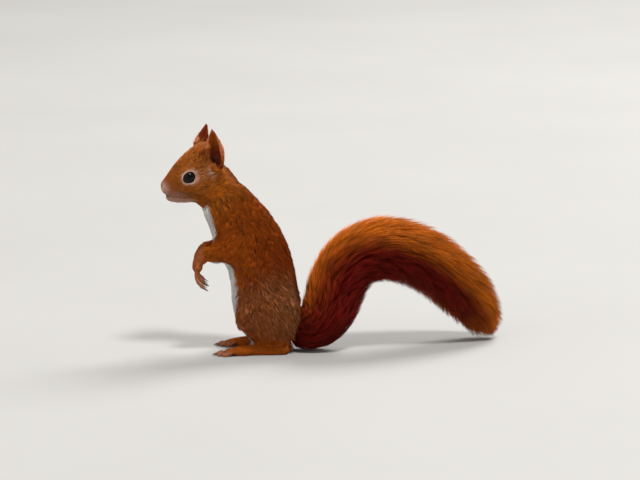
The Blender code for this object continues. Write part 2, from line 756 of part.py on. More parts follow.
def finish(shown, helpers):
    """Materials, smooth shading, and one empty that stands the model over the origin."""
    made = {name: make_material(name, *look) for name, look in MATERIALS.items()}
    ground = bpy.data.objects.new("ground_point", None)
    helpers.objects.link(ground)
    corners = []
    for node in shown.objects:
        slot = next((slot for start, slot in MATERIAL_OF if node.name.startswith(start)), "coat_red")
        node.data.materials.clear()
        node.data.materials.append(made[slot])
        node.data.shade_smooth()
        node.data.set_sharp_from_angle(angle=math.radians(50))
        node.parent = ground
        corners.append(points_of(node.data))
    corners = np.vstack(corners)
    low, high = corners.min(axis=0), corners.max(axis=0)
    ground.location = (-(low[0] + high[0]) / 2, -(low[1] + high[1]) / 2, -low[2])
    bpy.context.view_layer.update()


def main():
    clear_scene()
    shown, helpers = make_collections()
    body = build_body(shown, helpers)
    build_tail(body, shown, helpers)
    nodes = part_body(body, shown, helpers)
    nodes["trunk"] = body
    for name, node in nodes.items():
        if not name.startswith(("hand", "foot")):
            thin_cut_faces(node)
    for name in ("trunk", "foot_left", "foot_right"):
        flatten_underside(nodes[name], helpers)
    head = nodes["head"]
    build_nose(head, shown, helpers)
    for side, sign in SIDES.items():
        build_ear(side, sign, head, shown, helpers)
        build_eye(side, sign, head, shown, helpers)
        build_claws(side, sign, shown)
    finish(shown, helpers)


main()
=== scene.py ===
"""Looks of a life-size red squirrel that sits up with its tail arched behind it.

One skin stands for all the flesh, a coat of mesh tufts grows from it, and the eyes, claws
and whiskers are pieces of their own. Sums are in millimetres, Blender's meshes in metres.
A pair of numbers for ease() says where something starts and where it is full.
"""

import math

import bmesh
import bpy
import numpy as np
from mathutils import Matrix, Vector
from mathutils.bvhtree import BVHTree
from mathutils.kdtree import KDTree


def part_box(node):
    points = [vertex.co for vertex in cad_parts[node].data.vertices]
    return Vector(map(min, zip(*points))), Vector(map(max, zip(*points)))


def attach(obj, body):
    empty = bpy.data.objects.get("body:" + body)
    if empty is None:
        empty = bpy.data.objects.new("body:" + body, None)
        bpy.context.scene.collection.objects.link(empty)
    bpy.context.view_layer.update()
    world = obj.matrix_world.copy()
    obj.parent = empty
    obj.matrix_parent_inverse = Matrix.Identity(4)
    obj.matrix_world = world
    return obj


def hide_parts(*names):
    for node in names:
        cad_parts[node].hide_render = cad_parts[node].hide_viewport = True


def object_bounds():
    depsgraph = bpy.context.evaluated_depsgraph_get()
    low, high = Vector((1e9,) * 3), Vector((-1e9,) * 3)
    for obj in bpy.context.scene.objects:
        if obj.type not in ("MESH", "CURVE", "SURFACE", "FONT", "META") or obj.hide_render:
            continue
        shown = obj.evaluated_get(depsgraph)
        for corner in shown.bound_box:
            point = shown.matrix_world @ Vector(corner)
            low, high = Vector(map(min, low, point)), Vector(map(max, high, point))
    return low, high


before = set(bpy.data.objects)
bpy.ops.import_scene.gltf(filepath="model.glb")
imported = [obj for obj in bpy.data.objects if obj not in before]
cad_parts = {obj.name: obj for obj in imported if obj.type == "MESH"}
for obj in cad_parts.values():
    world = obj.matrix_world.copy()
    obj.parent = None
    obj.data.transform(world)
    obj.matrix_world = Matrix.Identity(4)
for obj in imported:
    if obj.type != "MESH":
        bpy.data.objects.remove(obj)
CAD_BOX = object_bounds()

MM = 0.001
TINY = 1e-12
SEED = 11
rng = np.random.default_rng(SEED)
UP = np.array((0.0, 0.0, 1.0))
LEVEL = np.array((0.0, 1.0, 0.0))

# -------- sizes, in mm

# depth, length and width of a tuft, and tufts for each square millimetre
COAT = {
    "head": (2.2, 5.6, 0.55, 3.4),
    "ear": (0.25, 2.0, 0.30, 5.0),
    "nose": (0.0, 1.0, 0.20, 0.0),
    "neck": (3.6, 8.0, 0.72, 2.4),
    "trunk": (4.8, 9.5, 0.8, 2.0),
    "upper_arm": (3.0, 7.0, 0.66, 2.4),
    "forearm": (1.5, 4.6, 0.46, 3.4),
    "hand": (0.12, 1.6, 0.24, 6.0),
    "thigh": (4.4, 9.5, 0.76, 2.1),
    "shank": (1.8, 5.0, 0.56, 2.6),
    "foot": (0.2, 2.1, 0.30, 5.0),
    "tail": (0.0, 6.0, 0.60, 0.0),
}
FACE_COAT = (0.4, 1.3, 0.24, 8.0)  # the same at the muzzle

# level before a change and after it, and where it starts and ends: in mm, degrees or shares;
# a place on the tail faces outward by 1 over the arch and by -1 under it
FADES = {
    "ear_loose": (0.7, 0.1, 0.1, 0.5),
    "head_loose": (0.25, 1.0, 6, 22),
    "claw_loose": (0.03, 1.0, 13, 20),
    "lid_loose": (0.04, 1.0, 0.8, 3.5),
    "ear_rim": (0.3, 1.0, 0.15, 0.5),
    "ear_folds": (1, 0, 0.3, 0.6),
    "ear_tufts": (1.0, 0.2, 0.25, 0.5),
    "lid_tufts": (0, 1, 0.5, 1.2),
    "face": (1, 0, 22, 44),
    "bib_edge": (52, 40, 20, 55),
    "inward": (0, 0.85, 0.1, 0.6),
    "throat": (0, 1, 20, 23),
    "throat_side": (1, 0, 8.5, 11.5),
    "throat_start": (0, 1, 18, 24),
    "upper_amber": (0, 0.3, 70, 110),
    "band_top": (1, 0, 2, 8),
    "band_side": (0, 0.45, 6, 10),
    "low_back": (0, 0.5, 85, 110),
    "low_back_top": (1, 0, 55, 80),
    "muzzle": (0.9, 0, 4.0, 10.5),
    "chin": (0, 0.9, 3.2, 5.0),
    "chin_end": (1, 0, 17, 24),
    "lips_end": (0.5, 0, 10, 20),
    "lid": (1, 0, 0.6, 2.1),
    "digits": (0.3, 0, 3, 9),
    # painted shade in the ears' lower hollows, over their thinly haired skin
    "hollow": (1, 0, 0.2, 0.5),
    "hollow_back": (1.0, 0.4, 46, 49),
    "ear_amber": (0, 0.5, 0.35, 0.7),
    # blush on the ears' rims: partly their paler hair, partly painted rim light
    "rim_blush": (0, 0.28, 0.1, 0.4),
    "tail_edge": (0.4, -0.1, 0.28, 0.55),
    "tail_top": (0, 1, 0, 0.8),
    "tail_amber": (0, 1, 0.06, 0.3),
    "tail_end": (0, 0.55, 0.85, 1.0),
    "tail_under": (0, 0.35, 0.75, 1.0),
    "tail_under_start": (0, 1, 0.5, 0.8),
    # painted shade: deeper red under the tail than over it
    "tail_dusk": (0.58, 0, -0.1, 0.55),
    "tail_dusk_end": (1, 0.3, 0.7, 1.0),
    "tail_root": (0.95, 0, 0.1, 0.4),
    "tail_root_top": (1, 0.4, 0.3, 1.0),
}

HEAD_PITCH = math.radians(20)  # the head's axis climbs this much towards the crown
EYE_BEHIND = 23.9  # from the nose tip to the eyes, along the head
EYE_ABOVE = 4.0

# metres: what the camera looks at, how far away it is, and how high over the level
CAMERA_AIM = Vector((-0.0114, -0.0164, 0.0875))
CAMERA_DISTANCE = 2.773
CAMERA_LIFT = math.radians(9)
# place in metres, width in metres and power in watts of each lamp
LAMPS = {
    "key": ((1.1, -2.1, 4.7), 1.1, 165),
    "back": ((2.0, 2.9, 3.7), 2.6, 200),
    "fill": ((-4.2, -3.5, 2.2), 4.0, 50),
}
SKY = ((1.0, 0.99, 0.98, 1.0), 0.37)  # colour and strength

# -------- arrays


def dot(a, b):
    return np.sum(a * b, axis=-1)


def length_of(vectors):
    return np.linalg.norm(vectors, axis=-1)


def unit(vectors):
    """Vectors of length one, or zero where there is no direction."""
    return vectors / np.maximum(length_of(vectors), TINY)[..., None]


def ease(values, start, full):
    """0 up to start, 1 from full on, and a smooth change between them."""
    share = np.clip((values - start) / (full - start), 0, 1)
    return share * share * (3 - 2 * share)


def mix(a, b, share):
    return a + (b - a) * share


def fade(name, values):
    """The level of one of the FADES at each value."""
    before, after, start, full = FADES[name]
    return mix(before, after, ease(values, start, full))


def bell(*offsets):
    """1 where every offset is 0, and less the greater they are."""
    return np.exp(-sum(offset ** 2 for offset in offsets))


def flattened(vectors, normals):
    """Each vector without what points along its normal."""
    return vectors - normals * dot(vectors, normals)[..., None]


def headings(paths):
    """The direction at each station of one path, or of many."""
    padded = np.concatenate((paths[..., :1, :], paths, paths[..., -1:, :]), axis=-2)
    return unit(padded[..., 2:, :] - padded[..., :-2, :])


def path_distance(points, path):
    """How far each point is from a path of straight runs."""
    nearest_yet = np.full(len(points), np.inf)
    for start, end in zip(path[:-1], path[1:]):
        run = end - start
        share = np.clip((points - start) @ run / max(run @ run, TINY), 0, 1)
        gap = points - (start + share[:, None] * run)
        nearest_yet = np.minimum(nearest_yet, length_of(gap))
    return nearest_yet


def in_mm(vector):
    return np.array(vector, float) / MM


# -------- meshes

WELD_GRAIN = 1000  # parts of a mm that tell points apart
WEIGHT_STEPS = 20


def fields(items, name, size, kind=np.int32):
    """One field of a mesh's vertices, edges or triangles."""
    flat = np.empty(len(items) * size, kind)
    items.foreach_get(name, flat)
    return flat.reshape(-1, size)


def points_of(mesh):
    return fields(mesh.vertices, "co", 3, np.float32).astype(float) / MM


def triangles_of(mesh):
    mesh.calc_loop_triangles()
    return fields(mesh.loop_triangles, "vertices", 3)


def edges_of(mesh):
    return fields(mesh.edges, "vertices", 2)


def set_points(mesh, points):
    mesh.vertices.foreach_set("co", (points * MM).astype(np.float32).ravel())


def make_mesh(name, points, triangles):
    """A smooth-shaded Blender mesh of triangles, from points in mm."""
    mesh = bpy.data.meshes.new(name)
    mesh.vertices.add(len(points))
    set_points(mesh, points)
    mesh.loops.add(triangles.size)
    mesh.loops.foreach_set("vertex_index", triangles.astype(np.int32).ravel())
    mesh.polygons.add(len(triangles))
    mesh.polygons.foreach_set("loop_start", np.arange(0, triangles.size, 3, dtype=np.int32))
    mesh.polygons.foreach_set("use_smooth", np.ones(len(triangles), bool))
    mesh.update(calc_edges=True)
    return mesh


def bmesh_mesh(name, make, **settings):
    mesh = bpy.data.meshes.new(name)
    shape = bmesh.new()
    make(shape, **settings)
    shape.to_mesh(mesh)
    shape.free()
    return mesh


def make_object(name, data):
    thing = bpy.data.objects.new(name, data)
    bpy.context.scene.collection.objects.link(thing)
    return thing


def make_piece(name, mesh, material, replaced=()):
    """A visible piece that rides on the one body."""
    mesh.materials.append(material)
    piece = make_object(name, mesh)
    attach(piece, "root")
    if replaced:
        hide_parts(*replaced)
    return piece


def add_values(mesh, name, values):
    layer = mesh.attributes.new(name, "FLOAT", "POINT")
    layer.data.foreach_set("value", values.astype(np.float32))


def across_of(points, triangles):
    """A vector straight out of each triangle, as long as twice its area."""
    a, b, c = (points[triangles[:, k]] for k in range(3))
    return np.cross(b - a, c - a)


def facing_out(points, triangles):
    """A closed surface's triangles, turned to face out of it."""
    volume = np.sum(across_of(points, triangles) * points[triangles[:, 0]])
    return triangles if volume > 0 else triangles[:, ::-1]


def normals_at(points, triangles):
    """The direction straight out of the surface at each point."""
    across = across_of(points, triangles)
    total = np.zeros_like(points)
    for k in range(3):
        for axis in range(3):
            total[:, axis] += np.bincount(triangles[:, k], across[:, axis], len(points))
    return unit(total)


def blur(values, edges, rounds, freedom=1.0):
    """Moves values towards their neighbours' mean, a little each round."""
    near, far = edges.T.ravel(), edges[:, ::-1].T.ravel()
    count = np.maximum(np.bincount(near, minlength=len(values)), 1)[:, None]
    pull = 0.5 * np.reshape(freedom, (-1, 1))
    for _ in range(rounds):
        columns = [np.bincount(near, column[far], len(values)) for column in values.T]
        values = values + pull * (np.stack(columns, axis=1) / count - values)
    return values


def welded(points, triangles):
    """The same surface with one point where several lie together."""
    keys = np.round(points * WELD_GRAIN).astype(np.int64)
    _, first, index = np.unique(keys, axis=0, return_index=True, return_inverse=True)
    return points[first], index.reshape(-1)[triangles]


def joined(solids):
    starts = np.cumsum([0] + [len(points) for points, _ in solids])
    triangles = [faces + start for (_, faces), start in zip(solids, starts)]
    return np.concatenate([points for points, _ in solids]), np.concatenate(triangles)


def tree_of(points, triangles):
    return BVHTree.FromPolygons(points.tolist(), triangles.tolist(), all_triangles=True)


def nearest(tree, points):
    """What is nearest to each point on a surface: places, normals, faces and gaps."""
    found = zip(*(tree.find_nearest(point) for point in points.tolist()))
    return [np.array(column) for column in found]


def nearest_spot(spots, points):
    """Which spot is nearest to each point."""
    tree = KDTree(len(spots))
    for k, spot in enumerate(spots):
        tree.insert(Vector(spot), k)
    tree.balance()
    return np.array([tree.find(point)[1] for point in points.tolist()])


def with_modifier(mesh, kind, weights=None, **settings):
    """The mesh that one modifier makes of this one. weights fill the group 'coarse'."""
    thing = make_object("shape", mesh)
    if weights is not None:
        group = thing.vertex_groups.new(name="coarse")
        steps = np.round(weights * WEIGHT_STEPS).astype(int)
        for step in np.unique(steps):
            group.add(np.nonzero(steps == step)[0].tolist(), float(step) / WEIGHT_STEPS, "REPLACE")
    modifier = thing.modifiers.new("shape", kind)
    for setting, value in settings.items():
        setattr(modifier, setting, value)
    evaluated = thing.evaluated_get(bpy.context.evaluated_depsgraph_get())
    result = bpy.data.meshes.new_from_object(evaluated)
    bpy.data.objects.remove(thing)
    bpy.data.meshes.remove(mesh)
    return result


def shell_round(solids, voxel):
    """One unbroken surface round several solids."""
    mesh = make_mesh("shell", *joined(solids))
    return with_modifier(mesh, "REMESH", mode="VOXEL", voxel_size=voxel * MM)


def band_faces(rings, sides, closed=False):
    """Triangles between rings of points, and round to the first if closed."""
    grid = np.arange(rings * sides).reshape(rings, sides)
    here, there = (grid, np.roll(grid, -1, axis=0)) if closed else (grid[:-1], grid[1:])
    b, c = np.roll(here, -1, axis=1), np.roll(there, -1, axis=1)
    return np.stack((here, b, c, here, c, there), axis=-1).reshape(-1, 3)


def tube(path, radii, sides, up=UP):
    """A round bar along a path, with flat ends."""
    path = np.array(path, float)
    ahead = headings(path)
    side = unit(np.cross(ahead, up))
    over = np.cross(side, ahead)
    turn = np.arange(sides) * 2 * math.pi / sides
    ring = np.cos(turn)[None, :, None] * side[:, None] + np.sin(turn)[None, :, None] * over[:, None]
    points = (path[:, None] + ring * np.reshape(radii, (-1, 1, 1))).reshape(-1, 3)
    points = np.concatenate((points, path[:1], path[-1:]))
    start, end, last = len(points) - 2, len(points) - 1, (len(path) - 1) * sides
    ends = []
    for k in range(sides):
        after = (k + 1) % sides
        ends += [(start, after, k), (end, last + k, last + after)]
    return points, facing_out(points, np.concatenate((band_faces(len(path), sides), ends)))


# -------- places from the frame

CLAW_ROOT = 6  # points of a claw that are its root


def node_solid(name):
    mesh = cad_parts[name].data
    return welded(points_of(mesh), triangles_of(mesh))


def middle_of(node):
    low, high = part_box(node)
    return in_mm((low + high) / 2)


def kind_of(node):
    """The key of COAT for a node, such as ear for ear_left."""
    if node.startswith("tail"):
        return "tail"
    return node.replace("_left", "").replace("_right", "")


SIDES = {"left": -1, "right": 1}
NODES = sorted(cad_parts)
SHARP = [n for n in NODES if "claw" in n]
FLESH = [n for n in NODES if "claw" not in n and not n.startswith("eye")]
BODY = [n for n in FLESH if not n.startswith("tail")]
TAIL = [n for n in FLESH if n.startswith("tail")]

EYE = {side: middle_of("eye_" + side) for side in SIDES}
EYE_RADIUS = float(in_mm(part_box("eye_left")[1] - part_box("eye_left")[0])[2]) / 2
ASIDE = unit(EYE["right"] - EYE["left"])
LEVEL_BACK = np.cross(ASIDE, UP)
HEAD_BACK = math.cos(HEAD_PITCH) * LEVEL_BACK + math.sin(HEAD_PITCH) * UP
HEAD_UP = -math.sin(HEAD_PITCH) * LEVEL_BACK + math.cos(HEAD_PITCH) * UP
NOSE_TIP = (EYE["left"] + EYE["right"]) / 2 - EYE_BEHIND * HEAD_BACK - EYE_ABOVE * HEAD_UP


def head_places(points):
    """How far points are behind, above and aside of the nose tip."""
    away = points - NOSE_TIP
    return away @ HEAD_BACK, away @ HEAD_UP, away @ ASIDE


def head_point(behind, above, aside):
    return NOSE_TIP + behind * HEAD_BACK + above * HEAD_UP + aside * ASIDE


def claw_line(name):
    """The middle of a claw's root and its tip."""
    points, _ = node_solid(name)
    paw = middle_of(("hand_" if name.startswith("finger") else "foot_") + name.split("_")[2])
    order = np.argsort(length_of(points - paw))
    return points[order[:CLAW_ROOT]].mean(axis=0), points[order[-1]]


CLAWS = {name: claw_line(name) for name in SHARP}


def from_nearest(spots, points):
    return np.min([length_of(points - spot) for spot in spots], axis=0)


def from_claws(points):
    return from_nearest([root for root, _ in CLAWS.values()], points)


# -------- the tail's line

TAIL_STEP = 3.0  # between the stations of the tail's line
TAIL_STATIONS = 120  # at most
TAIL_TURN = 0.45  # how fast the line takes up a new heading
TAIL_CENTRING = 3  # rounds that bring a station to the middle of the tail
TAIL_ROUNDING = 6
TAIL_TO_TRUNK = 9  # the line ends this near to the trunk
TAIL_RAYS = 28
RAY_LENGTH = 45
MOST_REACH = 32.0
LOST_REACH = 25.0  # for a ray that meets nothing
END_REACH = 0.5
TAIL_BONE = (6.5, 4.0)  # radius of the fleshy tail at the rump and at its end
BONE_SIDES = 16
BONE_ROOT = 12  # how far it starts inside the rump
TAIL_BRUSH = 16.0  # hair that reaches past the end of the fleshy tail


class Tail:
    """The line through the middle of the tail, and the coat's reach all round it."""

    def __init__(self):
        mesh = shell_round([node_solid(n) for n in TAIL], voxel=1.4)
        self.shell = tree_of(blur(points_of(mesh), edges_of(mesh), rounds=4), triangles_of(mesh))
        bpy.data.meshes.remove(mesh)
        self.line = line = self.find_line()
        steps = length_of(np.diff(line, axis=0))
        self.marks = np.concatenate(((0,), np.cumsum(steps)))
        self.length = self.marks[-1]
        self.ahead = headings(line)
        self.side = unit(flattened(np.broadcast_to(LEVEL, line.shape), self.ahead))
        self.outer = np.cross(self.ahead, self.side)
        reach = np.array([self.reach_round(*station)[0] for station in zip(line, self.ahead)])
        reach[-1] = END_REACH
        for _ in range(2):
            reach[1:-1] = (reach[:-2] + 2 * reach[1:-1] + reach[2:]) / 4
            reach = (np.roll(reach, 1, axis=1) + 2 * reach + np.roll(reach, -1, axis=1)) / 4
        self.reach = reach

    def find_line(self):
        """Stations from the rump to the tail's end, found by walking the other way."""
        trunk = tree_of(*node_solid("trunk"))
        tip_points = node_solid("tail_tip")[0]
        away = length_of(tip_points - middle_of("tail_arch"))
        spot = tip_points[np.argmax(away)]
        heading = unit(tip_points.mean(axis=0) - spot)
        stations = [spot]
        while len(stations) <= TAIL_STATIONS:
            next_spot = spot + heading * TAIL_STEP
            for _ in range(TAIL_CENTRING):
                next_spot = next_spot + self.reach_round(next_spot, heading)[1]
            heading = unit((1 - TAIL_TURN) * heading + TAIL_TURN * unit(next_spot - spot))
            spot = next_spot
            stations.append(spot)
            if trunk.find_nearest(spot)[3] < TAIL_TO_TRUNK:
                break
        line = np.array(stations[::-1])
        for _ in range(TAIL_ROUNDING):
            line[1:-1] += 0.5 * ((line[:-2] + line[2:]) / 2 - line[1:-1])
        return line

    def reach_round(self, spot, heading):
        """How far the coat reaches all round a place, and how far off the middle that is."""
        side = unit(flattened(LEVEL, heading))
        outer = np.cross(heading, side)
        reaches, shift = [], np.zeros(3)
        for k in range(TAIL_RAYS):
            turn = 2 * math.pi * k / TAIL_RAYS
            ray = math.cos(turn) * outer + math.sin(turn) * side
            hit = self.shell.ray_cast(Vector(spot), Vector(ray), RAY_LENGTH)
            distance = min(hit[3], MOST_REACH) if hit[0] else LOST_REACH
            reaches.append(distance)
            shift += ray * distance / TAIL_RAYS
        return reaches, shift

    def at(self, along, values):
        """The stations' values at distances along the tail."""
        columns = [np.interp(along, self.marks, column) for column in values.T]
        return np.stack(columns, axis=-1)

    def reach_at(self, along, turn):
        """How far the coat reaches, at an angle round the tail."""
        place = np.mod(turn / (2 * math.pi), 1) * TAIL_RAYS
        low = np.floor(place).astype(int) % TAIL_RAYS
        share = place - np.floor(place)
        rows = self.at(along, self.reach)
        pick = np.arange(len(along))
        return mix(rows[pick, low], rows[pick, (low + 1) % TAIL_RAYS], share)

    def places(self, along, turn, out):
        """Points along and out from the tail's line, and their way out of it."""
        outer = unit(self.at(along, self.outer))
        side = unit(self.at(along, self.side))
        ray = np.cos(turn)[:, None] * outer + np.sin(turn)[:, None] * side
        return self.at(along, self.line) + ray * out[:, None], ray

    def bone(self):
        """The fleshy tail under the hair."""
        inside = self.line[self.marks < self.length - TAIL_BRUSH][::2]
        root = self.line[0] - self.ahead[0] * BONE_ROOT
        path = np.concatenate((root[None], inside))
        return tube(path, np.linspace(*TAIL_BONE, len(path)), BONE_SIDES, LEVEL)

    def nearest(self, points):
        """Where points are: along the tail, round it and out from it."""
        found = nearest_spot(self.line, points)
        away = points - self.line[found]
        turn = np.arctan2(dot(away, self.side[found]),
                          dot(away, self.outer[found]))
        along = self.marks[found] + dot(away, self.ahead[found])
        return along, turn, length_of(away)


# -------- lids and digits

LID_HALF_WIDTH = 5.0
LID_HALF_HEIGHT = 4.05
LID_CORNER = 0.6  # how far the opening is drawn out to its corner
LID_CORNER_AT = (28, 20)  # degrees below straight ahead, and their spread
LID_THICKNESS = 0.75
LID_GAP = 0.15
LID_LEAST_DEPTH = 1.0
LID_SPOTS = 48
LID_ROWS = 7
LID_BACK = math.radians(100)  # the lids reach this far round the ball

SEAM_REACH = 1.0  # flesh this near to its neighbour is grown to meet it
SEAM_GROWTH = 0.32

SHEATH_COVER = 0.9  # how far flesh covers a claw
SHEATH_MIDDLE = 0.5
SHEATH_LENGTH = 2.6
SHEATH_TAPER = 0.75
SHEATH_SIDES = 12
FINGER_END = 1.0  # radii
TOE_END = 1.4


def lid_edge(side):
    """The edge of the eye's opening, with a corner in front and below."""
    turn = 2 * math.pi * np.arange(LID_SPOTS) / LID_SPOTS
    forward, above = np.cos(turn), np.sin(turn)
    angle, spread = LID_CORNER_AT
    drawn = LID_CORNER * bell((np.degrees(np.arctan2(-above, forward)) - angle) / spread)
    across = forward * (LID_HALF_WIDTH + drawn)
    high = above * (LID_HALF_HEIGHT + drawn)
    reach = EYE_RADIUS + LID_GAP
    depth = np.sqrt(np.maximum(reach * reach - across * across - high * high, LID_LEAST_DEPTH))
    flat = EYE[side] - np.outer(across, HEAD_BACK) + np.outer(high, HEAD_UP)
    return flat + np.outer(depth, SIDES[side] * ASIDE)


def from_lids(points):
    """How far points are from the edge of the nearer eye's opening."""
    edges = [lid_edge(side) for side in SIDES]
    return np.min([path_distance(points, np.append(e, e[:1], axis=0)) for e in edges], axis=0)


def lids(side):
    """Both lids as one band, from the opening's edge round the ball."""
    outward = SIDES[side] * ASIDE
    rim = unit(lid_edge(side) - EYE[side])
    opening = np.arccos(np.clip(rim @ outward, -1, 1))
    across = unit(flattened(rim, outward))
    shares = np.linspace(0, 1, LID_ROWS)
    inner = EYE_RADIUS + LID_GAP
    rows = []
    for some, reach in ((shares, inner), (shares[::-1], inner + LID_THICKNESS)):
        for share in some:
            angle = mix(opening, LID_BACK, share)[:, None]
            rows.append(EYE[side] + reach * (np.cos(angle) * outward + np.sin(angle) * across))
    points = np.concatenate(rows)
    return points, facing_out(points, band_faces(len(rows), LID_SPOTS, closed=True))


def seam_grown(name, others):
    """A node's solid, swollen a little where it meets another node."""
    points, triangles = node_solid(name)
    gaps = nearest(others, points)[3]
    growth = SEAM_GROWTH * (gaps < SEAM_REACH)
    return points + normals_at(points, triangles) * growth[:, None], triangles


def digit_end(name):
    """The fleshy end of a digit, round the root of its claw."""
    root, tip = CLAWS[name]
    ahead = unit(tip - root)
    spots = [root + ahead * share for share in (SHEATH_COVER, -SHEATH_MIDDLE, -SHEATH_LENGTH)]
    thick = FINGER_END if name.startswith("finger") else TOE_END
    return tube(spots, (SHEATH_TAPER * thick, thick, thick), SHEATH_SIDES, up=(0.3, 1, 0.1))


# -------- the skin

SKIN_TRIANGLES = 175000
FINE_PARTS = ("head", "ear", "nose", "hand", "foot")
FINE_REACH = 4
FINE_SHARE = 0.85  # how much less it is thinned out there
DIGIT_HOLD = 0.8  # how much less the shell is smoothed near the claws
DIGIT_REACH = (12, 18)
BONE_SKIN = 1.5  # skin this near to the fleshy tail belongs to it
BONE_START = 6  # along the tail

FREEDOM = {"foot": 0.25, "hand": 0.25, "nose": 0.3}  # how freely a part may be smoothed

ROUNDING = 70  # rounds of smoothing before the skin is drawn in
FACE_DEPTH = (6, 40)  # behind the nose tip: the coat deepens
FACE_TUFTS = (4, 40)  # and its tufts grow longer and fewer
EYE_BARE = EYE_RADIUS + 1.0  # from the ball's middle
EYE_DEPTH = (EYE_RADIUS + 0.9, EYE_RADIUS + 6)
CLAW_DEPTH = (16, 10)
DEPTH_ROUNDS = 8

ARM_DROOP = 14  # how much the upper arm's hair turns down
SHANK_LIE = (0.9, -0.5)  # back and up
FLOW_SOURCE = -3  # behind the nose tip
EYE_RING = (EYE_RADIUS + 4.0, EYE_RADIUS + 1.0)  # where the hair runs away from the eye
EYE_RING_BACK = 0.4
FLOW_ROUNDS = 6

# nostrils, mouth and lids: path (behind, above, aside of the nose tip), radius, height, and dark, the
# painted shade in the nostrils and along the mouth
FACE_STROKES = (
    (((0.4, 4.0, 1.3), (1.0, 3.7, 2.2), (2.0, 4.6, 3.0)), 0.62, -0.9, 1.0),
    (((0.6, 2.6, 0), (1.4, -0.6, 0), (1.9, -3.8, 0)), 0.5, -0.45, 0.5),
    (((2.2, -4.6, 0), (2.6, -4.8, 2.4), (3.5, -5.2, 4.4)), 1.3, -0.5, 1.0),
    (((3.5, -5.2, 4.4), (6.0, -6.2, 6.2), (9.5, -7.6, 7.6)), 0.45, -0.25, 0.3),
    (((4.6, -0.6, 4.6), (8.0, -2.4, 7.2)), 2.4, 0.4, 0.0),
    (((4.5, -8.6, 1.0), (8.0, -11.0, 2.5)), 2.2, 0.3, 0.0),
    (((17.0, 1.6, 12.4), (13.5, -1.0, 11.0)), 0.6, -0.35, 0.0),
    (((17.5, 10.2, 10.5), (23.0, 11.6, 12.0), (29.5, 9.6, 13.4)), 1.8, 0.4, 0.0),
)
STROKE_CORE = (0.1, 0.7)
EAR_FOLDS = (26.0, 0.16)  # how close they lie, and their height

# the hollow side's way, forward of straight out
EAR_FACING = {"left": math.radians(42), "right": math.radians(28)}
EAR_LEVELS = 12
EAR_SLICE = 0.6 / EAR_LEVELS
EAR_LEAST_WIDTH = 0.1
EAR_EDGE = (0.72, 0.9)  # off the ear's middle, 1 being its outline
EAR_HOLLOW = (0.1, 0.5)


def ear_share(side, points):
    """How high points lie on an ear, as a share of its height."""
    low, high = (in_mm(corner)[2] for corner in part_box("ear_" + side))
    return np.clip((points[:, 2] - low) / (high - low), 0, 1)


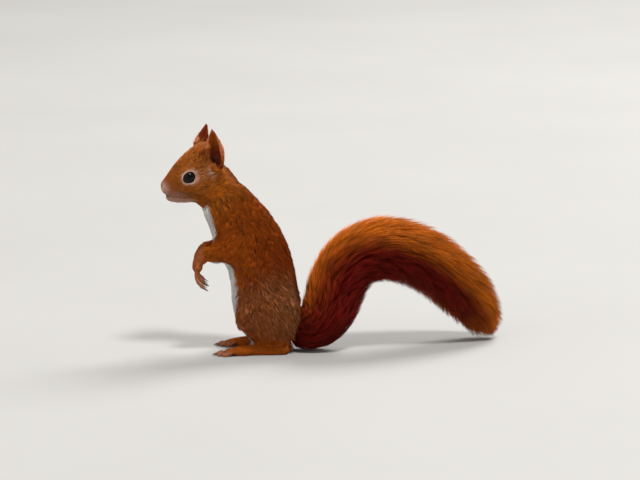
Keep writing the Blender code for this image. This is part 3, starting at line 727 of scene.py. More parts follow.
class Skin:
    """The skin's surface, with the coat's depth, tufts and lie at each point."""

    def __init__(self, tail):
        self.tail = tail
        mesh = self.first_shell()
        self.points = points_of(mesh)
        self.triangles = triangles_of(mesh)
        self.edges = edges_of(mesh)
        bpy.data.meshes.remove(mesh)
        self.sort_by_node()
        self.settle()
        self.read_tufts()
        self.lie = self.coat_lie()
        self.sculpt()
        self.normals = normals_at(self.points, self.triangles)
        self.tree = tree_of(self.points, self.triangles)

    def first_shell(self):
        """An unbroken shell round all the flesh, finest at the head, hands and feet."""
        solids = {name: node_solid(name) for name in BODY}
        parts = []
        for name in BODY:
            others = tree_of(*joined([solids[n] for n in BODY if n != name]))
            parts.append(seam_grown(name, others))
        parts.append(self.tail.bone())
        parts += [lids(side) for side in SIDES]
        parts += [digit_end(name) for name in SHARP]
        mesh = shell_round(parts, voxel=0.42)
        points = points_of(mesh)
        held = DIGIT_HOLD * (1 - ease(from_claws(points), *DIGIT_REACH))
        points = blur(points, edges_of(mesh), rounds=4, freedom=1 - held)
        set_points(mesh, points)
        fine = np.zeros(len(points))
        for name in BODY:
            if kind_of(name) in FINE_PARTS:
                low, high = (in_mm(corner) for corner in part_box(name))
                outside = np.maximum(np.maximum(low - points, points - high), 0)
                fine = np.maximum(fine, ease(length_of(outside), FINE_REACH, 0))
        ratio = SKIN_TRIANGLES / (2 * len(mesh.polygons))
        return with_modifier(mesh, "DECIMATE", weights=1 - FINE_SHARE * fine, ratio=min(ratio, 1.0),
                             vertex_group="coarse", vertex_group_factor=2e-5,
                             use_collapse_triangulate=True)

    def sort_by_node(self):
        solids = [node_solid(name) for name in FLESH]
        owner = np.concatenate([np.full(len(s[1]), k) for k, s in enumerate(solids)])
        self.node = owner[nearest(tree_of(*joined(solids)), self.points)[2]]
        along, _, out = self.tail.nearest(self.points)
        on_bone = (out < TAIL_BONE[0] + BONE_SKIN) & (along > BONE_START)
        self.node[on_bone] = FLESH.index("tail_arch")
        self.kind = np.array([kind_of(name) for name in FLESH])[self.node]

    def is_kind(self, *kinds):
        return np.isin(self.kind, kinds).astype(float)

    def spread(self, values, rounds):
        return blur(values.reshape(len(values), -1), self.edges, rounds).reshape(values.shape)

    def soft_kind(self, rounds, *kinds):
        return self.spread(self.is_kind(*kinds), rounds)

    def looseness(self):
        loose = np.ones(len(self.points))
        for kind, freedom in FREEDOM.items():
            loose[self.kind == kind] = freedom
        for side in SIDES:
            on_ear = self.node == FLESH.index("ear_" + side)
            loose[on_ear] = fade("ear_loose", ear_share(side, self.points))[on_ear]
        on_head = self.kind == "head"
        loose[on_head] = fade("head_loose", head_places(self.points)[0])[on_head]
        loose = self.spread(loose, rounds=5) * fade("claw_loose", from_claws(self.points))
        return loose * fade("lid_loose", from_lids(self.points))

    def settle(self):
        """Rounds the body off and draws the skin in by the coat's depth."""
        loose = self.looseness()
        self.points = blur(self.points, self.edges, ROUNDING, loose)
        depth = np.array([COAT[kind][0] for kind in self.kind])
        behind = head_places(self.points)[0]
        near_eye = from_nearest(EYE.values(), self.points)
        face = mix(FACE_COAT[0], COAT["head"][0], ease(behind, *FACE_DEPTH))
        face = face * ease(near_eye, *EYE_DEPTH)
        on_head = self.is_kind("head", "nose") > 0
        depth[on_head] = face[on_head]
        depth = self.spread(depth, rounds=14)
        depth = np.where(near_eye < EYE_BARE, 0, depth)
        depth = depth * (1 - ease(from_claws(self.points), *CLAW_DEPTH))
        for _ in range(DEPTH_ROUNDS):
            normals = normals_at(self.points, self.triangles)
            self.points = self.points - normals * (depth / DEPTH_ROUNDS)[:, None]
            self.points = blur(self.points, self.edges, rounds=2, freedom=loose)
        self.depth = depth
        self.near_lid = from_lids(self.points)

    def read_tufts(self):
        """The tufts' length, width and number at each point."""
        rows = np.array([COAT[kind][1:] for kind in self.kind])
        share = ease(head_places(self.points)[0], *FACE_TUFTS)[:, None]
        face = mix(np.array(FACE_COAT[1:]), np.array(COAT["head"][1:]), share)
        on_head = self.kind == "head"
        rows[on_head] = face[on_head]
        self.length, self.width = self.spread(rows[:, :2], rounds=10).T
        self.crowd = rows[:, 2]

    def lie_of(self, name):
        """The way the hair of one node lies, as a whole."""
        kind, side = kind_of(name), name.split("_")[-1]
        down_trunk = unit(middle_of("trunk") - middle_of("neck"))
        if kind == "upper_arm":
            return middle_of("forearm_" + side) - middle_of(name) + down_trunk * ARM_DROOP
        if kind == "forearm":
            return middle_of("hand_" + side) - middle_of("upper_arm_" + side)
        if kind == "hand":
            return middle_of(f"finger_claw_{side}_2") - middle_of("forearm_" + side)
        if kind == "foot":
            return middle_of(f"toe_claw_{side}_3") - middle_of(name)
        if kind == "shank":
            return LEVEL_BACK * SHANK_LIE[0] + UP * SHANK_LIE[1]
        return HEAD_UP if kind == "ear" else down_trunk

    def coat_lie(self):
        flows = np.zeros_like(self.points)
        normals = normals_at(self.points, self.triangles)
        for k, name in enumerate(FLESH):
            flows[self.node == k] = unit(self.lie_of(name))
        on_head = self.is_kind("head", "nose") > 0
        flows[on_head] = unit(self.points[on_head] - head_point(FLOW_SOURCE, 0, 0))
        on_bone = self.kind == "tail"
        along, _, _ = self.tail.nearest(self.points[on_bone])
        flows[on_bone] = unit(self.tail.at(along, self.tail.ahead))
        for middle in EYE.values():
            away = self.points - middle
            ring = ease(length_of(away), *EYE_RING)[:, None]
            flows = mix(flows, unit(unit(away) + EYE_RING_BACK * HEAD_BACK), ring)
        for _ in range(FLOW_ROUNDS):
            flows = unit(self.spread(flattened(flows, normals), rounds=6))
        return unit(flattened(flows, normals))

    def sculpt(self):
        """Nostrils, mouth, folds of the lids and ears."""
        self.normals = normals_at(self.points, self.triangles)
        shift = np.zeros(len(self.points))
        self.dark = np.zeros(len(self.points))
        tree = tree_of(self.points, self.triangles)
        for sign in SIDES.values():
            for path, radius, height, dark in FACE_STROKES:
                spots = np.array([head_point(b, a, sign * s) for b, a, s in path])
                stroke = bell(path_distance(self.points, nearest(tree, spots)[0]) / radius)
                shift += height * stroke
                # dark is painted shade in the nostrils and along the mouth's line
                self.dark = np.maximum(self.dark, dark * ease(stroke, *STROKE_CORE))
        inside, _, height = self.ear_parts()
        pitch, tall = EAR_FOLDS
        shift += tall * inside * np.sin(pitch * height) * fade("ear_folds", height)
        self.points = self.points + self.normals * shift[:, None]

    def ear_parts(self):
        """1 in the ears' hollows, 1 on their rims, and the share of the ear's height."""
        inside, rim, height = np.zeros((3, len(self.points)))
        levels = np.linspace(0, 1, EAR_LEVELS)
        for side, sign in SIDES.items():
            on_ear = self.node == FLESH.index("ear_" + side)
            facing = EAR_FACING[side]
            outward = sign * ASIDE * math.cos(facing) - LEVEL_BACK * math.sin(facing)
            across = np.cross(outward, UP)
            share = ear_share(side, self.points)
            place = self.points @ across
            slices = [place[on_ear & (np.abs(share - level) < EAR_SLICE)] for level in levels]
            first = np.interp(share, levels, [s.min() for s in slices])
            last = np.interp(share, levels, [s.max() for s in slices])
            off_middle = 2 * (place - first) / np.maximum(last - first, EAR_LEAST_WIDTH) - 1
            toward = self.normals @ outward - off_middle * (self.normals @ across)
            edge = ease(np.abs(off_middle), *EAR_EDGE)
            inside = np.where(on_ear, ease(toward, *EAR_HOLLOW) * (1 - edge), inside)
            rim = np.where(on_ear, edge * fade("ear_rim", share), rim)
            height = np.where(on_ear, share, height)
        return inside, rim, height


# -------- markings

MARKS = ("face", "dusk", "amber", "umber", "blush", "bib", "bare")
LIMBS = ("hand", "forearm", "foot", "shank", "upper_arm", "thigh")
LIMB_BIB = {"thigh": 1.0, "upper_arm": 0.6, "shank": 0.5}
LIMB_AMBER = {"upper_arm": 0.35, "forearm": 0.7, "foot": 0.55, "hand": 0.55, "shank": 0.4}

# rounds of blur at the edge of each part's markings
SOFT_EDGE = {"hand": 8, "forearm": 8, "foot": 8, "shank": 6, "upper_arm": 8, "thigh": 14,
             "nose": 3, "tail": 4, "ear": 2}
HEAD_EDGE = 10
HAUNCH_EDGE = 20

BIB_BLEND = 6  # degrees to each side of the bib's edge
BIB_FLANK = (34, 8)  # degrees past it
THROAT_SLANT = 0.25
LIP_SLANT = 0.35
CHIN_SLANT = 0.45
BAND_SLANT = 0.35
LIPS = (-3.0, 3.2)  # above the nose tip, and the reach
BAND = (44, 4)  # behind it
MUZZLE_SHAPE = (0.8, 0.35)  # what a way up and a way aside count

# on each side of the head: strength, middle (behind and above the nose tip), reach back and
# up, and how far aside it starts and is full
SPOTS = {
    "cheek": (0.8, (36, -15), (9, 6), (-2, -1)),
    "behind_eye": (0.9, (33, 3.0), (5.0, 6.0), (5, 9)),
    "before_ear": (0.7, (39.5, 15), (4.0, 4.5), (4, 8)),
    "below_ear": (0.85, (37.5, 1.2), (2.0, 3.0), (8, 12)),
}
HAUNCH_UMBER = 0.75
EAR_DUSK = 0.5
# amber on the ears' rims: partly their paler hair, partly painted rim light
RIM_AMBER_AND_LIGHT = 0.8
HAND_BLUSH = 0.12
# how strongly the painted shade of nostrils and mouth shows
STROKE_SHADE = 0.9
NOSE_BARE = 0.22
TAIL_DUSK = 0.4


def tail_marks(tail, along, turn):
    """Amber over the tail's top and end; deep red on its sides and root, with painted shade making
    its underside darker still.
    """
    share = along / tail.length
    outer = np.cos(turn)
    top = fade("tail_top", outer - fade("tail_edge", share)) * fade("tail_amber", share)
    under = fade("tail_under", -outer) * fade("tail_under_start", share)
    amber = np.maximum.reduce([top, fade("tail_end", share), under])
    # the sides' own deep red, plus painted shade that darkens the underside and the root's underside
    side = TAIL_DUSK + fade("tail_dusk", outer) * fade("tail_dusk_end", share)
    dusk = np.maximum(side, fade("tail_root", share) * fade("tail_root_top", outer))
    nothing = np.zeros(len(along))
    return {**dict.fromkeys(MARKS, nothing), "amber": amber, "dusk": dusk}


def head_spot(name, behind, above, aside):
    strength, middle, reach, sides = SPOTS[name]
    core = bell((behind - middle[0]) / reach[0], (above - middle[1]) / reach[1])
    return strength * core * ease(aside, *sides)


def skin_marks(skin):
    """How strongly each marking shows at each point of the skin."""
    points = skin.points
    floor_up = points[:, 2]
    behind, above, aside = head_places(points)
    aside = np.abs(aside)
    spot = {name: head_spot(name, behind, above, aside) for name in SPOTS}
    part = {kind: skin.soft_kind(rounds, kind) for kind, rounds in SOFT_EDGE.items()}
    on_head = skin.soft_kind(HEAD_EDGE, "head", "nose", "ear")
    haunch = skin.soft_kind(HAUNCH_EDGE, "thigh")
    on_body = np.clip(1 - on_head - part["tail"], 0, 1)
    off_limbs = 1 - np.clip(sum(part[kind] for kind in LIMBS), 0, 1)
    inside, rim, height = skin.ear_parts()

    neck, trunk = middle_of("neck"), middle_of("trunk")
    slope = (neck - trunk) / (neck - trunk)[2]
    away = points - (trunk + slope * (points[:, 2:3] - trunk[2]))
    from_front = np.degrees(np.arctan2(np.abs(away[:, 1]), -away[:, 0]))
    past_bib = from_front - fade("bib_edge", floor_up)
    bib = ease(past_bib, BIB_BLEND, -BIB_BLEND)
    inward = fade("inward", -skin.normals[:, 1] * np.sign(points[:, 1] - trunk[1]))
    limb_bib = np.clip(weighed(part, LIMB_BIB), 0, 1) * inward
    throat = fade("throat", -(above + THROAT_SLANT * behind)) * fade("throat_side", aside)
    flank = np.maximum(ease(past_bib, *BIB_FLANK) * (1 - bib), fade("upper_amber", floor_up))
    band = bell((behind + BAND_SLANT * above - BAND[0]) / BAND[1])
    band = band * fade("band_top", above) * fade("band_side", aside)
    low_back = on_body * fade("low_back", from_front) * fade("low_back_top", floor_up)
    from_head = length_of(points - middle_of("head"))
    up, out = MUZZLE_SHAPE
    muzzle = fade("muzzle", np.sqrt(behind ** 2 + above ** 2 * up + aside ** 2 * out))
    chin = fade("chin", -above - CHIN_SLANT * behind) * fade("chin_end", behind)
    lips = bell((above + LIP_SLANT * behind - LIPS[0]) / LIPS[1]) * fade("lips_end", behind)
    pale = [muzzle, chin, lips, fade("lid", skin.near_lid), spot["below_ear"]]
    paw = fade("digits", from_claws(points)) + HAND_BLUSH * part["hand"]
    # the ear's lower hollow: thinly haired skin darkened with painted shade
    hollow = inside * fade("hollow", height) * fade("hollow_back", behind)

    layers = {
        "face": [fade("face", from_head) * (1 - part["ear"])],
        "dusk": [on_head * spot["before_ear"], EAR_DUSK * part["ear"] * (1 - rim)],
        "amber": [on_body * np.clip(flank * off_limbs + weighed(part, LIMB_AMBER), 0, 1),
                  on_head * np.clip(spot["cheek"] + band, 0, 1),
                  # on the ears' rims: paler hair and painted rim light
                  RIM_AMBER_AND_LIGHT * rim, inside * fade("ear_amber", height)],
        "umber": [on_head * spot["behind_eye"] + HAUNCH_UMBER * haunch + low_back],
        # on the ears' rims: paler hair and painted rim light
        "blush": [on_head * np.maximum.reduce(pale), paw, rim * fade("rim_blush", height)],
        "bib": [on_body * np.clip(bib * off_limbs + limb_bib, 0, 1),
                on_head * throat * fade("throat_start", behind)],
        # dark skin colour: painted shade in the ears' openings, nostrils and mouth, and the nose
        # pad's bare skin
        "bare": [hollow, STROKE_SHADE * skin.dark, NOSE_BARE * part["nose"]],
    }
    tail_along, tail_turn, _ = skin.tail.nearest(points)
    on_the_tail = tail_marks(skin.tail, tail_along, tail_turn)
    marks = {}
    for name in MARKS:
        strength = np.clip(np.maximum.reduce(layers[name]), 0, 1)
        marks[name] = mix(strength, on_the_tail[name], part["tail"])
    return marks


def weighed(part, shares):
    """The parts' strengths added up, each times its share."""
    return sum(share * part[kind] for kind, share in shares.items())


# -------- materials


def linear(red, green, blue):
    """A colour on the 0 to 255 display scale as Blender's linear colour."""
    channels = []
    for value in (red, green, blue):
        value = value / 255
        channels.append(value / 12.92 if value <= 0.04045 else ((value + 0.055) / 1.055) ** 2.4)
    return (*channels, 1.0)


PALETTE = {
    "base": linear(160, 66, 8),
    "face": linear(174, 96, 28),
    "amber": linear(210, 112, 14),
    "umber": linear(158, 94, 44),
    "dusk": linear(112, 14, 3),
    "blush": linear(222, 178, 156),
    "bib": linear(246, 243, 240),
    # dark skin colour, for the bare nose pad and for painted shade in nostrils, mouth and ear
    # openings
    "bare": linear(52, 18, 10),
}

# how dark the root is, and how far tufts and locks differ in tone
HAIR = {"coat_hair": (0.55, 0.28, 0.17), "tail_hair": (0.45, 0.3, 0.2)}
HAIR_TIP = 1.12
HAIR_DRIFT = (90.0, (0.88, 1.12))  # scale of noise, and its tones
HAIR_ROUGHNESS = (0.5, 0.68)
BIB_EVENNESS = 0.9

NOISE_RANGE = (0.3, 0.7)
NAP = (1400.0, 4.0, 0.6)  # scale, detail and roughness of the noise
NAP_TONES = (0.6, 1.15)
NAP_ROUGHNESS = (0.75, 0.55)
NAP_BUMP = (0.00012, 0.6)
SKIN_DRIFT = (110.0, (0.8, 1.1))

# place along the way the eye faces, and colour there
IRIS = ((0.35, (14, 7, 5)), (0.72, (24, 11, 7)), (0.9, (5, 4, 3)), (0.97, (2, 2, 3)))
IRIS_STREAKS = (2500.0, (0.8, 1.2))

# colour, roughness, scale and contrast of the grain, and its height in metres
PLAIN = {
    "claw_horn": (linear(92, 68, 52), 0.35, 900.0, 0.3, 0.00005),
    "whisker_hair": (linear(40, 26, 20), 0.4, 400.0, 0.25, 0.00005),
    "floor_paint": (linear(192, 190, 186), 0.8, 3.0, 0.02, 0.0),
}
PLAIN_WEAR = 0.15  # how far the roughness changes


def about(middle, spread):
    return middle - spread, middle + spread


class Nodes:
    """Builds a material's shader nodes."""

    def __init__(self, name):
        self.material = bpy.data.materials.new(name)
        self.material.use_nodes = True
        self.tree = self.material.node_tree
        self.surface = self.tree.nodes["Principled BSDF"]

    def add(self, kind, inputs=(), **settings):
        node = self.tree.nodes.new(kind)
        for setting, value in settings.items():
            setattr(node, setting, value)
        for socket, value in dict(inputs).items():
            self.put(node.inputs[socket], value)
        return node

    def put(self, socket, value):
        if isinstance(value, bpy.types.NodeSocket):
            self.tree.links.new(value, socket)
        else:
            socket.default_value = value

    def shade(self, **inputs):
        """Sets the surface's inputs; an underscore stands for a space."""
        for name, value in inputs.items():
            self.put(self.surface.inputs[name.replace("_", " ")], value)

    def value(self, name):
        return self.add("ShaderNodeAttribute", attribute_name=name).outputs["Fac"]

    def mixed(self, share, a, b, blend="MIX"):
        inputs = {"Factor": share, 6: a, 7: b}
        return self.add("ShaderNodeMix", inputs, data_type="RGBA", blend_type=blend).outputs[2]

    def times(self, a, b):
        return self.add("ShaderNodeMath", {0: a, 1: b}, operation="MULTIPLY").outputs[0]

    def ranged(self, value, to, start=(0.0, 1.0)):
        inputs = {"Value": value, "From Min": start[0], "From Max": start[1],
                  "To Min": to[0], "To Max": to[1]}
        return self.add("ShaderNodeMapRange", inputs).outputs["Result"]

    def noise(self, scale, detail=3.0, roughness=0.55):
        place = self.add("ShaderNodeTexCoord").outputs["Object"]
        inputs = {"Vector": place, "Scale": scale, "Detail": detail, "Roughness": roughness}
        return self.add("ShaderNodeTexNoise", inputs).outputs["Fac"]

    def bump(self, height, distance, strength=1.0):
        inputs = {"Height": height, "Distance": distance, "Strength": strength}
        self.shade(Normal=self.add("ShaderNodeBump", inputs).outputs["Normal"])

    def brightened(self, colour, factor):
        grey = self.add("ShaderNodeCombineColor", {"Red": factor, "Green": factor, "Blue": factor})
        return self.mixed(1.0, colour, grey.outputs["Color"], "MULTIPLY")

    def marked_colour(self):
        """The coat's colour: the markings laid over each other in their order."""
        colour = PALETTE["base"]
        for name in MARKS:
            colour = self.mixed(self.value(name), colour, PALETTE[name])
        return colour


def hair_material(name):
    """Darker at the root, paler at the tip, no two tufts quite the same."""
    dark_root, tone_spread, lock_spread = HAIR[name]
    nodes = Nodes(name)
    colour = nodes.marked_colour()
    scale, tones = HAIR_DRIFT
    drift = nodes.ranged(nodes.noise(scale), tones, NOISE_RANGE)
    tuft = nodes.ranged(nodes.value("strand"), about(1, tone_spread))
    lock = nodes.ranged(nodes.value("lock"), about(1, lock_spread))
    tip = nodes.ranged(nodes.value("along"), (dark_root, HAIR_TIP))
    whole = nodes.brightened(colour, nodes.times(nodes.times(drift, tuft), nodes.times(lock, tip)))
    pale = nodes.times(nodes.value("bib"), BIB_EVENNESS)
    nodes.shade(Base_Color=nodes.mixed(pale, whole, colour),
                Roughness=nodes.ranged(nodes.value("strand"), HAIR_ROUGHNESS),
                Specular_IOR_Level=0.12)
    return nodes.material


def skin_material():
    """The same markings, deeper, with a fine nap."""
    nodes = Nodes("red_squirrel_skin")
    colour = nodes.marked_colour()
    fine = nodes.noise(*NAP)
    scale, tones = SKIN_DRIFT
    wide = nodes.noise(scale)
    factor = nodes.times(nodes.ranged(fine, NAP_TONES, NOISE_RANGE),
                         nodes.ranged(wide, tones, NOISE_RANGE))
    nodes.shade(Base_Color=nodes.brightened(colour, factor),
                Roughness=nodes.ranged(fine, NAP_ROUGHNESS), Specular_IOR_Level=0.25)
    nodes.bump(fine, *NAP_BUMP)
    return nodes.material


def eye_material():
    """A dark brown iris round a wide pupil, under a wet gloss."""
    nodes = Nodes("squirrel_eye")
    ramp = nodes.add("ShaderNodeValToRGB", {"Fac": nodes.value("facing")})
    stops = ramp.color_ramp.elements
    stops[0].position, stops[1].position = IRIS[0][0], IRIS[-1][0]
    for place, _ in IRIS[1:-1]:
        stops.new(place)
    for stop, (_, colour) in zip(stops, IRIS):
        stop.color = linear(*colour)
    scale, tones = IRIS_STREAKS
    streaks = nodes.ranged(nodes.noise(scale, detail=2.0), tones, NOISE_RANGE)
    nodes.shade(Base_Color=nodes.brightened(ramp.outputs["Color"], streaks),
                Roughness=0.06, Specular_IOR_Level=0.18)
    return nodes.material


def plain_material(name):
    """One colour with a fine grain and a slight unevenness."""
    colour, roughness, grain, contrast, bump = PLAIN[name]
    nodes = Nodes(name)
    texture = nodes.noise(grain, detail=4.0)
    factor = nodes.ranged(texture, about(1, contrast), NOISE_RANGE)
    nodes.shade(Base_Color=nodes.brightened(colour, factor),
                Roughness=nodes.ranged(texture, about(roughness, roughness * PLAIN_WEAR)))
    nodes.bump(texture, bump)
    return nodes.material


# -------- tufts

BAKE_PATCH = 0.003  # size of a tuft on the unwrap of the skin
TUFT_FLOOR = 0.15  # no tuft reaches lower
SPIKE_CORNERS = (90.0, 210.0, 330.0)
SPIKE_FLATNESS = 0.6
TUFT_VALUES = (*(mark for mark in MARKS if mark != "bare"), "strand", "lock")


def spikes(spines, widths, outward, profile):
    """Closed spikes along spines: their points, and the triangles of one."""
    count, stations = spines.shape[:2]
    ahead = headings(spines)
    side = unit(np.cross(ahead, outward[:, None]))
    over = np.cross(side, ahead)
    rings = stations - 1
    points = np.empty((count, rings * 3 + 1, 3))
    for ring in range(rings):
        reach = (widths * profile[ring] / 2)[:, None]
        for k, corner in enumerate(SPIKE_CORNERS):
            turn = math.radians(corner)
            flat, high = math.cos(turn), SPIKE_FLATNESS * math.sin(turn)
            offset = flat * side[:, ring] + high * over[:, ring]
            points[:, ring * 3 + k] = spines[:, ring] + offset * reach
    points[:, -1] = spines[:, -1]
    last, tip = rings * 3 - 3, rings * 3
    ends = [(last + k, last + (k + 1) % 3, tip) for k in range(3)]
    return points, np.concatenate(([(0, 2, 1)], band_faces(rings, 3), ends))


def coat_piece(name, material, profile, tufts, pick):
    """One coat piece from the tufts picked, with its unwrap and markings."""
    spines, unwrap = tufts["spine"][pick], tufts["unwrap"][pick]
    points, template = spikes(spines, tufts["width"][pick], tufts["outward"][pick], profile)
    count, each = points.shape[:2]
    points[:, :, 2] = np.maximum(points[:, :, 2], TUFT_FLOOR)
    triangles = (template[None] + (np.arange(count) * each)[:, None, None]).reshape(-1, 3)
    mesh = make_mesh(name, points.reshape(-1, 3), triangles)
    for value in TUFT_VALUES:
        add_values(mesh, value, np.repeat(tufts[value][pick], each))
    rings = spines.shape[1] - 1
    along = np.append(np.repeat(np.arange(rings) / rings, 3), 1.0)
    add_values(mesh, "along", np.tile(along, count))
    across = np.append(np.tile((0.0, 0.5, 1.0), rings), 0.5)
    patch = (np.stack((across, along), axis=1) - 0.5) * BAKE_PATCH
    spots = (unwrap[:, None] + patch[None]).reshape(-1, 2)[triangles.ravel()]
    layer = mesh.uv_layers.new(name="OFBake")
    layer.data.foreach_set("uv", np.clip(spots, 0, 1).astype(np.float32).ravel())
    make_piece(name, mesh, material)


def leaders(places, every):
    """The leader of each place's lock: the nearest of every so many."""
    chosen = np.arange(0, len(places), every)
    return chosen[nearest_spot(places[chosen], places)]


LOCK = 11  # one tuft in so many leads the others
LOCK_SWAY = 0.16  # radians to the side
TUFT_SWAY = 0.11
LOCK_PULL = (0.38, 0.35)  # of the tips towards the leader's, and how far apart they stay
LENGTHS = (0.78, 1.15)
HEIGHTS = (0.72, 1.05)
LEAST_DEPTH = 0.25
EAR_DEPTH = 0.5
RIM_LENGTH = 0.9  # how much longer the tufts on an ear's rim are
STROKE_GAP = 0.95  # how far the tufts thin out in the mouth and nostrils
BEND_AT = 0.45  # share of a tuft's length
BEND_HEIGHT = 0.62  # share of its height
SOUND = 0.1  # how alike the skin faces at root and tip
OPEN_FACE = 4  # nearer to the lids, tufts that aren't sound are left out
RIM_FREE = 0.6
FREE_RISE = (0.3, 0.4)  # of a tuft that stands free, at its bend and at its tip
ROOT_DEPTH = 0.15
ROLL = (0.7, 0.6)
GRIZZLE = 0.62  # share of dull tufts on the haunch; the rest are bright
PALE_GRIZZLE = 0.8
GRIZZLE_AMBER = 0.5
GRIZZLE_BLUSH = 0.3
GRIZZLE_UMBER = 0.7
BIB_RAGGED = 0.5
BIB_TUFTS = (0.2, 0.8)
BODY_PROFILE = (0.8, 1.0)
REGIONS = {
    "head": ("head", "ear", "nose"),
    "trunk": ("neck", "trunk", "tail"),
    "arm": ("upper_arm", "forearm", "hand"),
    "leg": ("thigh", "shank", "foot"),
}


def tuft_marks(marks, strand):
    """The markings, with bright tufts on the haunch and a ragged bib."""
    grizzle = marks["umber"] * (strand > GRIZZLE)
    pale = grizzle * (strand > PALE_GRIZZLE)
    bib = marks["bib"] + BIB_RAGGED * (strand - 0.5)
    return {**marks,
            "amber": np.maximum(marks["amber"], GRIZZLE_AMBER * grizzle),
            "blush": np.maximum(marks["blush"], GRIZZLE_BLUSH * pale),
            "umber": marks["umber"] * (1 - GRIZZLE_UMBER * grizzle),
            "bib": ease(bib, *BIB_TUFTS)}


def body_coat(skin, unwrap, marks, material):
    """Tufts all over the body, a piece for each region and side."""
    area = length_of(across_of(skin.points, skin.triangles)) / 2
    inside, rim, height = skin.ear_parts()
    cover = 1 - inside * fade("ear_tufts", height) + rim
    cover = cover * fade("lid_tufts", skin.near_lid) * (1 - STROKE_GAP * skin.dark)
    chance = area * (skin.crowd * cover)[skin.triangles].mean(axis=1)
    count = int(chance.sum())
    chosen = rng.choice(len(chance), count, p=chance / chance.sum())
    u, v = rng.random((2, count))
    fold = u + v > 1
    u, v = np.where(fold, 1 - u, u), np.where(fold, 1 - v, v)
    shares = np.stack((1 - u - v, u, v), axis=1)[:, :, None]

    def here(values):
        rows = values.reshape(len(values), -1)[skin.triangles[chosen]]
        return (rows * shares).sum(axis=1)

    def one(values):
        return here(values)[:, 0]

    roots, normals, lie = here(skin.points), unit(here(skin.normals)), here(skin.lie)
    length = one(skin.length * (1 + RIM_LENGTH * rim))
    kind = skin.kind[skin.triangles[chosen, 0]]
    depth = np.maximum(one(skin.depth), np.where(kind == "ear", EAR_DEPTH, LEAST_DEPTH))
    strand = rng.random(count)
    sway = rng.normal(0, LOCK_SWAY, count)
    leader = leaders(roots, LOCK)
    sway = (sway[leader] + rng.normal(0, TUFT_SWAY, count))[:, None]
    lie = unit(flattened(lie, normals))
    lie = lie * np.cos(sway) + np.cross(normals, lie) * np.sin(sway)
    length = (length * rng.uniform(*LENGTHS, count))[:, None]
    height = (depth * rng.uniform(*HEIGHTS, count))[:, None]

    bend, bend_out = nearest(skin.tree, roots + lie * length * BEND_AT)[:2]
    tip, tip_out = nearest(skin.tree, roots + lie * length)[:2]
    sound = dot(tip_out, normals) > SOUND
    free = np.maximum(RIM_FREE * here(rim), 1.0 - sound[:, None])
    bend_rise, tip_rise = FREE_RISE
    tip = mix(tip + tip_out * height, roots + (lie + tip_rise * normals) * length, free)
    bend = mix(bend + bend_out * height * BEND_HEIGHT,
               roots + (lie + bend_rise * normals) * length * BEND_AT, free)
    pull, apart = LOCK_PULL
    tip = mix(tip, tip[leader] + apart * (roots - roots[leader]), pull)
    lean, roll = ROLL
    tufts = tuft_marks({name: one(marks[name]) for name in MARKS}, strand)
    tufts["spine"] = np.stack((roots - normals * ROOT_DEPTH, bend, tip), axis=1)
    tufts["width"] = one(skin.width)
    tufts["outward"] = unit(normals + lean * np.cross(normals, lie) * rng.normal(0, roll, (count, 1)))
    tufts["unwrap"] = (unwrap[chosen] * shares).sum(axis=1)
    tufts["strand"] = strand
    tufts["lock"] = rng.random(count)[leader]

    kept = sound | (one(skin.near_lid) > OPEN_FACE)
    head_left = (roots - NOSE_TIP) @ ASIDE < 0
    trunk_left = roots[:, 1] < middle_of("trunk")[1]
    for region, kinds in REGIONS.items():
        left = head_left if region == "head" else trunk_left
        for side in SIDES:
            pick = np.isin(kind, kinds) & (left == (side == "left")) & kept
            coat_piece(f"coat_{region}_{side}", material, BODY_PROFILE, tufts, pick)


TAIL_TUFTS = 30500
TAIL_LOCK = 13
TAIL_PULL = 0.34
TAIL_FIRST = 0.02  # share of the tail's length where the first tips are
TAIL_CROWD = 0.97
TAIL_FULLNESS = (1.02, 0.6, 2.4)  # the fullest, the loss of the shortest, how rare they are
TAIL_HAIR = 27.0  # how far a hair runs along the tail
TAIL_HAIR_GROWTH = (4, 0.8)  # at the rump, and for each mm from it
TAIL_HAIR_RANGE = (0.85, 1.15)
BONE_DEPTH = 0.8  # share of the fleshy tail's radius where the hair is rooted
TAIL_SHARES = np.array((0.0, 0.36, 0.7, 1.0))
TAIL_RISE = 1.55
TAIL_DRIFT = (0.0, 0.1, 0.45, 1.0)
TAIL_WAVE = 0.55
TAIL_WIDTHS = (0.42, 0.78)
TAIL_ROLL = (0.5, 0.5)
TAIL_PROFILE = (0.55, 1.0, 0.75)
TAIL_PARTS = ("root", "rise", "arch", "tip")


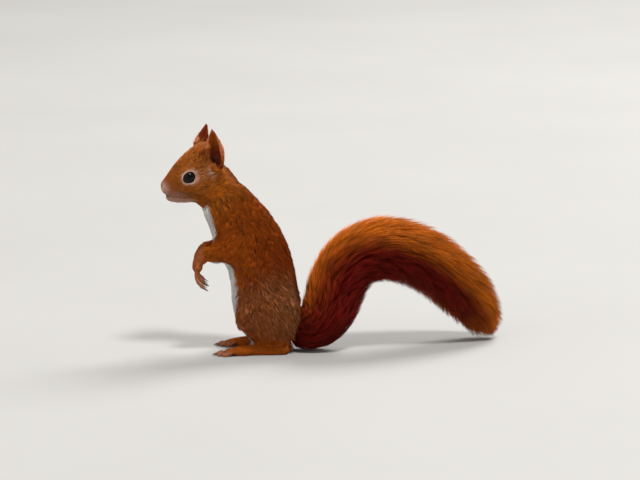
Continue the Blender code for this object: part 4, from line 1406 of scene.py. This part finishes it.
def tail_coat(skin, unwrap, material):
    """Long hair that sweeps out from the fleshy tail and along it."""
    tail, count = skin.tail, TAIL_TUFTS
    tip_along = rng.uniform(TAIL_FIRST, 1.0, count) ** TAIL_CROWD * tail.length
    turn = rng.uniform(0, 2 * math.pi, count)
    longest, loss, rarity = TAIL_FULLNESS
    fullness = longest - loss * rng.random(count) ** rarity
    first, growth = TAIL_HAIR_GROWTH
    run = np.minimum(TAIL_HAIR, first + growth * tip_along) * rng.uniform(*TAIL_HAIR_RANGE, count)
    root_along = np.clip(tip_along - run, 0, tail.length - TAIL_BRUSH - 1)
    bone = np.interp(root_along, (0, tail.length - TAIL_BRUSH), TAIL_BONE) * BONE_DEPTH
    reach = np.maximum(tail.reach_at(tip_along, turn) * fullness, END_REACH)
    spines = np.empty((count, len(TAIL_SHARES), 3))
    for k, share in enumerate(TAIL_SHARES):
        out = mix(bone, reach, 1 - (1 - share) ** TAIL_RISE)
        spines[:, k], ray = tail.places(mix(root_along, tip_along, share), turn, out)
    leader = leaders(spines[:, 3], TAIL_LOCK)
    drift = mix(spines[:, 3], spines[leader, 3], TAIL_PULL) - spines[:, 3]
    for k, share in enumerate(TAIL_DRIFT):
        spines[:, k] += share * drift
    wave = rng.normal(0, TAIL_WAVE, (count, 3))
    spines[:, 3] += wave
    spines[:, 2] += 0.5 * wave[leader]
    widths = rng.uniform(*TAIL_WIDTHS, count)
    lean, roll = TAIL_ROLL
    tufts = tail_marks(tail, tip_along, turn)
    tufts["spine"], tufts["width"] = spines, widths
    tufts["outward"] = unit(ray + lean * rng.normal(0, roll, (count, 3)))
    tufts["strand"] = rng.random(count)
    tufts["lock"] = rng.random(count)[leader]
    tufts["unwrap"] = unwrap[nearest(skin.tree, spines[:, 0])[2]].mean(axis=1)
    edges = np.linspace(0, tail.length, len(TAIL_PARTS) + 1)
    for name, start, end in zip(TAIL_PARTS, edges, edges[1:]):
        pick = (tip_along >= start) & (tip_along <= end)
        coat_piece("coat_tail_" + name, material, TAIL_PROFILE, tufts, pick)


# -------- pieces

EYE_AHEAD = 0.18  # how far the eyes look forward of straight out
CORNEA = (0.05, (0.55, 1.0))  # its rise, and where along the way of looking it starts

# of one side: root (behind, above, aside), way (back, up, out) and length
WHISKERS = (
    ((5.0, -2.2, 5.4), (0.10, 0.20, 1.0), 30),
    ((5.4, -3.6, 5.8), (0.00, -0.05, 1.0), 34),
    ((6.0, -5.0, 6.0), (0.05, -0.30, 1.0), 30),
    ((7.4, -2.0, 6.9), (0.45, 0.25, 1.0), 33),
    ((7.8, -3.6, 7.2), (0.40, -0.02, 1.0), 36),
    ((8.4, -5.2, 7.3), (0.45, -0.30, 1.0), 31),
    ((10.2, -2.2, 8.4), (0.85, 0.22, 1.0), 30),
    ((10.4, -4.2, 8.5), (0.80, -0.10, 1.0), 33),
    ((16.0, 8.6, 9.8), (0.55, 0.80, 0.8), 15),
    ((17.4, 9.4, 10.4), (0.75, 0.75, 0.8), 17),
)
WHISKER_SHARES = np.linspace(0, 1, 9)
WHISKER_RADIUS = 0.065
WHISKER_TAPER = 0.8
WHISKER_ROOT = 0.02  # share of the length that is under the skin
WHISKER_BEND = 0.22
WHISKER_DROOP = 0.5


def skin_piece(skin, marks):
    """Makes the skin, and gives its unwrap at each corner of each triangle."""
    mesh = make_mesh("skin", skin.points, skin.triangles)
    for name in MARKS:
        add_values(mesh, name, marks[name])
    piece = make_piece("skin", mesh, skin_material(), FLESH)
    layer = mesh.uv_layers.new(name="OFBake").name
    bpy.ops.object.select_all(action="DESELECT")
    bpy.context.view_layer.objects.active = piece
    piece.select_set(True)
    bpy.ops.object.mode_set(mode="EDIT")
    bpy.ops.mesh.select_all(action="SELECT")
    bpy.ops.uv.smart_project(angle_limit=math.radians(75), island_margin=0.001)
    bpy.ops.object.mode_set(mode="OBJECT")
    piece.select_set(False)
    spots = fields(mesh.uv_layers[layer].data, "uv", 2, np.float32)
    return spots.reshape(-1, 3, 2).astype(float)


def eye_piece(side, material):
    """A ball with a slightly domed cornea."""
    mesh = bmesh_mesh("eyeball_" + side, bmesh.ops.create_uvsphere,
                      u_segments=64, v_segments=40, radius=1.0)
    ball = fields(mesh.vertices, "co", 3, np.float32).astype(float)
    gaze = Vector(SIDES[side] * ASIDE - EYE_AHEAD * LEVEL_BACK)
    turn = np.array(Vector(UP).rotation_difference(gaze).to_matrix())
    rise, start = CORNEA
    dome = 1 + rise * ease(ball[:, 2], *start)
    set_points(mesh, EYE[side] + ball @ turn.T * EYE_RADIUS * dome[:, None])
    mesh.shade_smooth()
    add_values(mesh, "facing", ball[:, 2])
    make_piece("eyeball_" + side, mesh, material, ["eye_" + side])


def claws():
    """The claws stay as they are, rounded and given their horn."""
    horn = plain_material("claw_horn")
    for name in SHARP:
        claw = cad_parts[name]
        claw.data.materials.clear()
        claw.data.materials.append(horn)
        claw.data.shade_smooth()
        claw.modifiers.new("whole", "WELD").merge_threshold = 0.00001
        round_off = claw.modifiers.new("round", "SUBSURF")
        round_off.levels = round_off.render_levels = 2


def whisker_piece(skin):
    """Stiff dark hairs that leave the lips and brow and bend back."""
    solids = []
    bend = unit(HEAD_BACK - WHISKER_DROOP * UP) * WHISKER_BEND
    shares = WHISKER_SHARES[:, None]
    for sign in SIDES.values():
        for (behind, above, aside), (back, up, out), length in WHISKERS:
            start = head_point(behind, above, sign * aside)
            root = np.array(skin.tree.find_nearest(Vector(start))[0])
            way = unit(back * HEAD_BACK + up * HEAD_UP + out * sign * ASIDE)
            path = root + length * (way * (shares - WHISKER_ROOT) + bend * shares ** 2)
            radii = WHISKER_RADIUS * (1 - WHISKER_TAPER * WHISKER_SHARES)
            solids.append(tube(path, radii, sides=5))
    mesh = make_mesh("whiskers", *joined(solids))
    make_piece("whiskers", mesh, plain_material("whisker_hair"))


# -------- stage


def stage():
    """A pale floor, soft lights, and a low camera on the animal's left."""
    mesh = bmesh_mesh("floor", bmesh.ops.create_circle, cap_ends=True, segments=96,
                      radius=14.0)
    mesh.materials.append(plain_material("floor_paint"))
    make_object("floor", mesh)
    low, high = CAD_BOX
    middle = (Vector(low) + Vector(high)) / 2
    for name, (place, size, power) in LAMPS.items():
        lamp = bpy.data.lights.new(name, "AREA")
        lamp.shape = "DISK"
        lamp.size = size
        lamp.energy = power
        light = make_object(name, lamp)
        light.location = place
        light.rotation_euler = (middle - Vector(place)).to_track_quat("-Z", "Y").to_euler()
    scene = bpy.context.scene
    scene.world = bpy.data.worlds.new("studio")
    scene.world.use_nodes = True
    sky = scene.world.node_tree.nodes["Background"].inputs
    sky["Color"].default_value, sky["Strength"].default_value = SKY
    scene.view_settings.view_transform = "Standard"
    lens = bpy.data.cameras.new("camera")
    lens.lens = 200
    lens.sensor_width = 36
    lens.clip_start, lens.clip_end = 0.05, 60
    camera = make_object("camera", lens)
    toward = Vector((0, -math.cos(CAMERA_LIFT), math.sin(CAMERA_LIFT)))
    camera.location = CAMERA_AIM + CAMERA_DISTANCE * toward
    camera.rotation_euler = (math.radians(90) - CAMERA_LIFT, 0, 0)
    scene.camera = camera


# -------- all together

skin = Skin(Tail())
marks = skin_marks(skin)
unwrap = skin_piece(skin, marks)
body_coat(skin, unwrap, marks, hair_material("coat_hair"))
tail_coat(skin, unwrap, hair_material("tail_hair"))
eyes = eye_material()
for side in SIDES:
    eye_piece(side, eyes)
claws()
whisker_piece(skin)
stage()
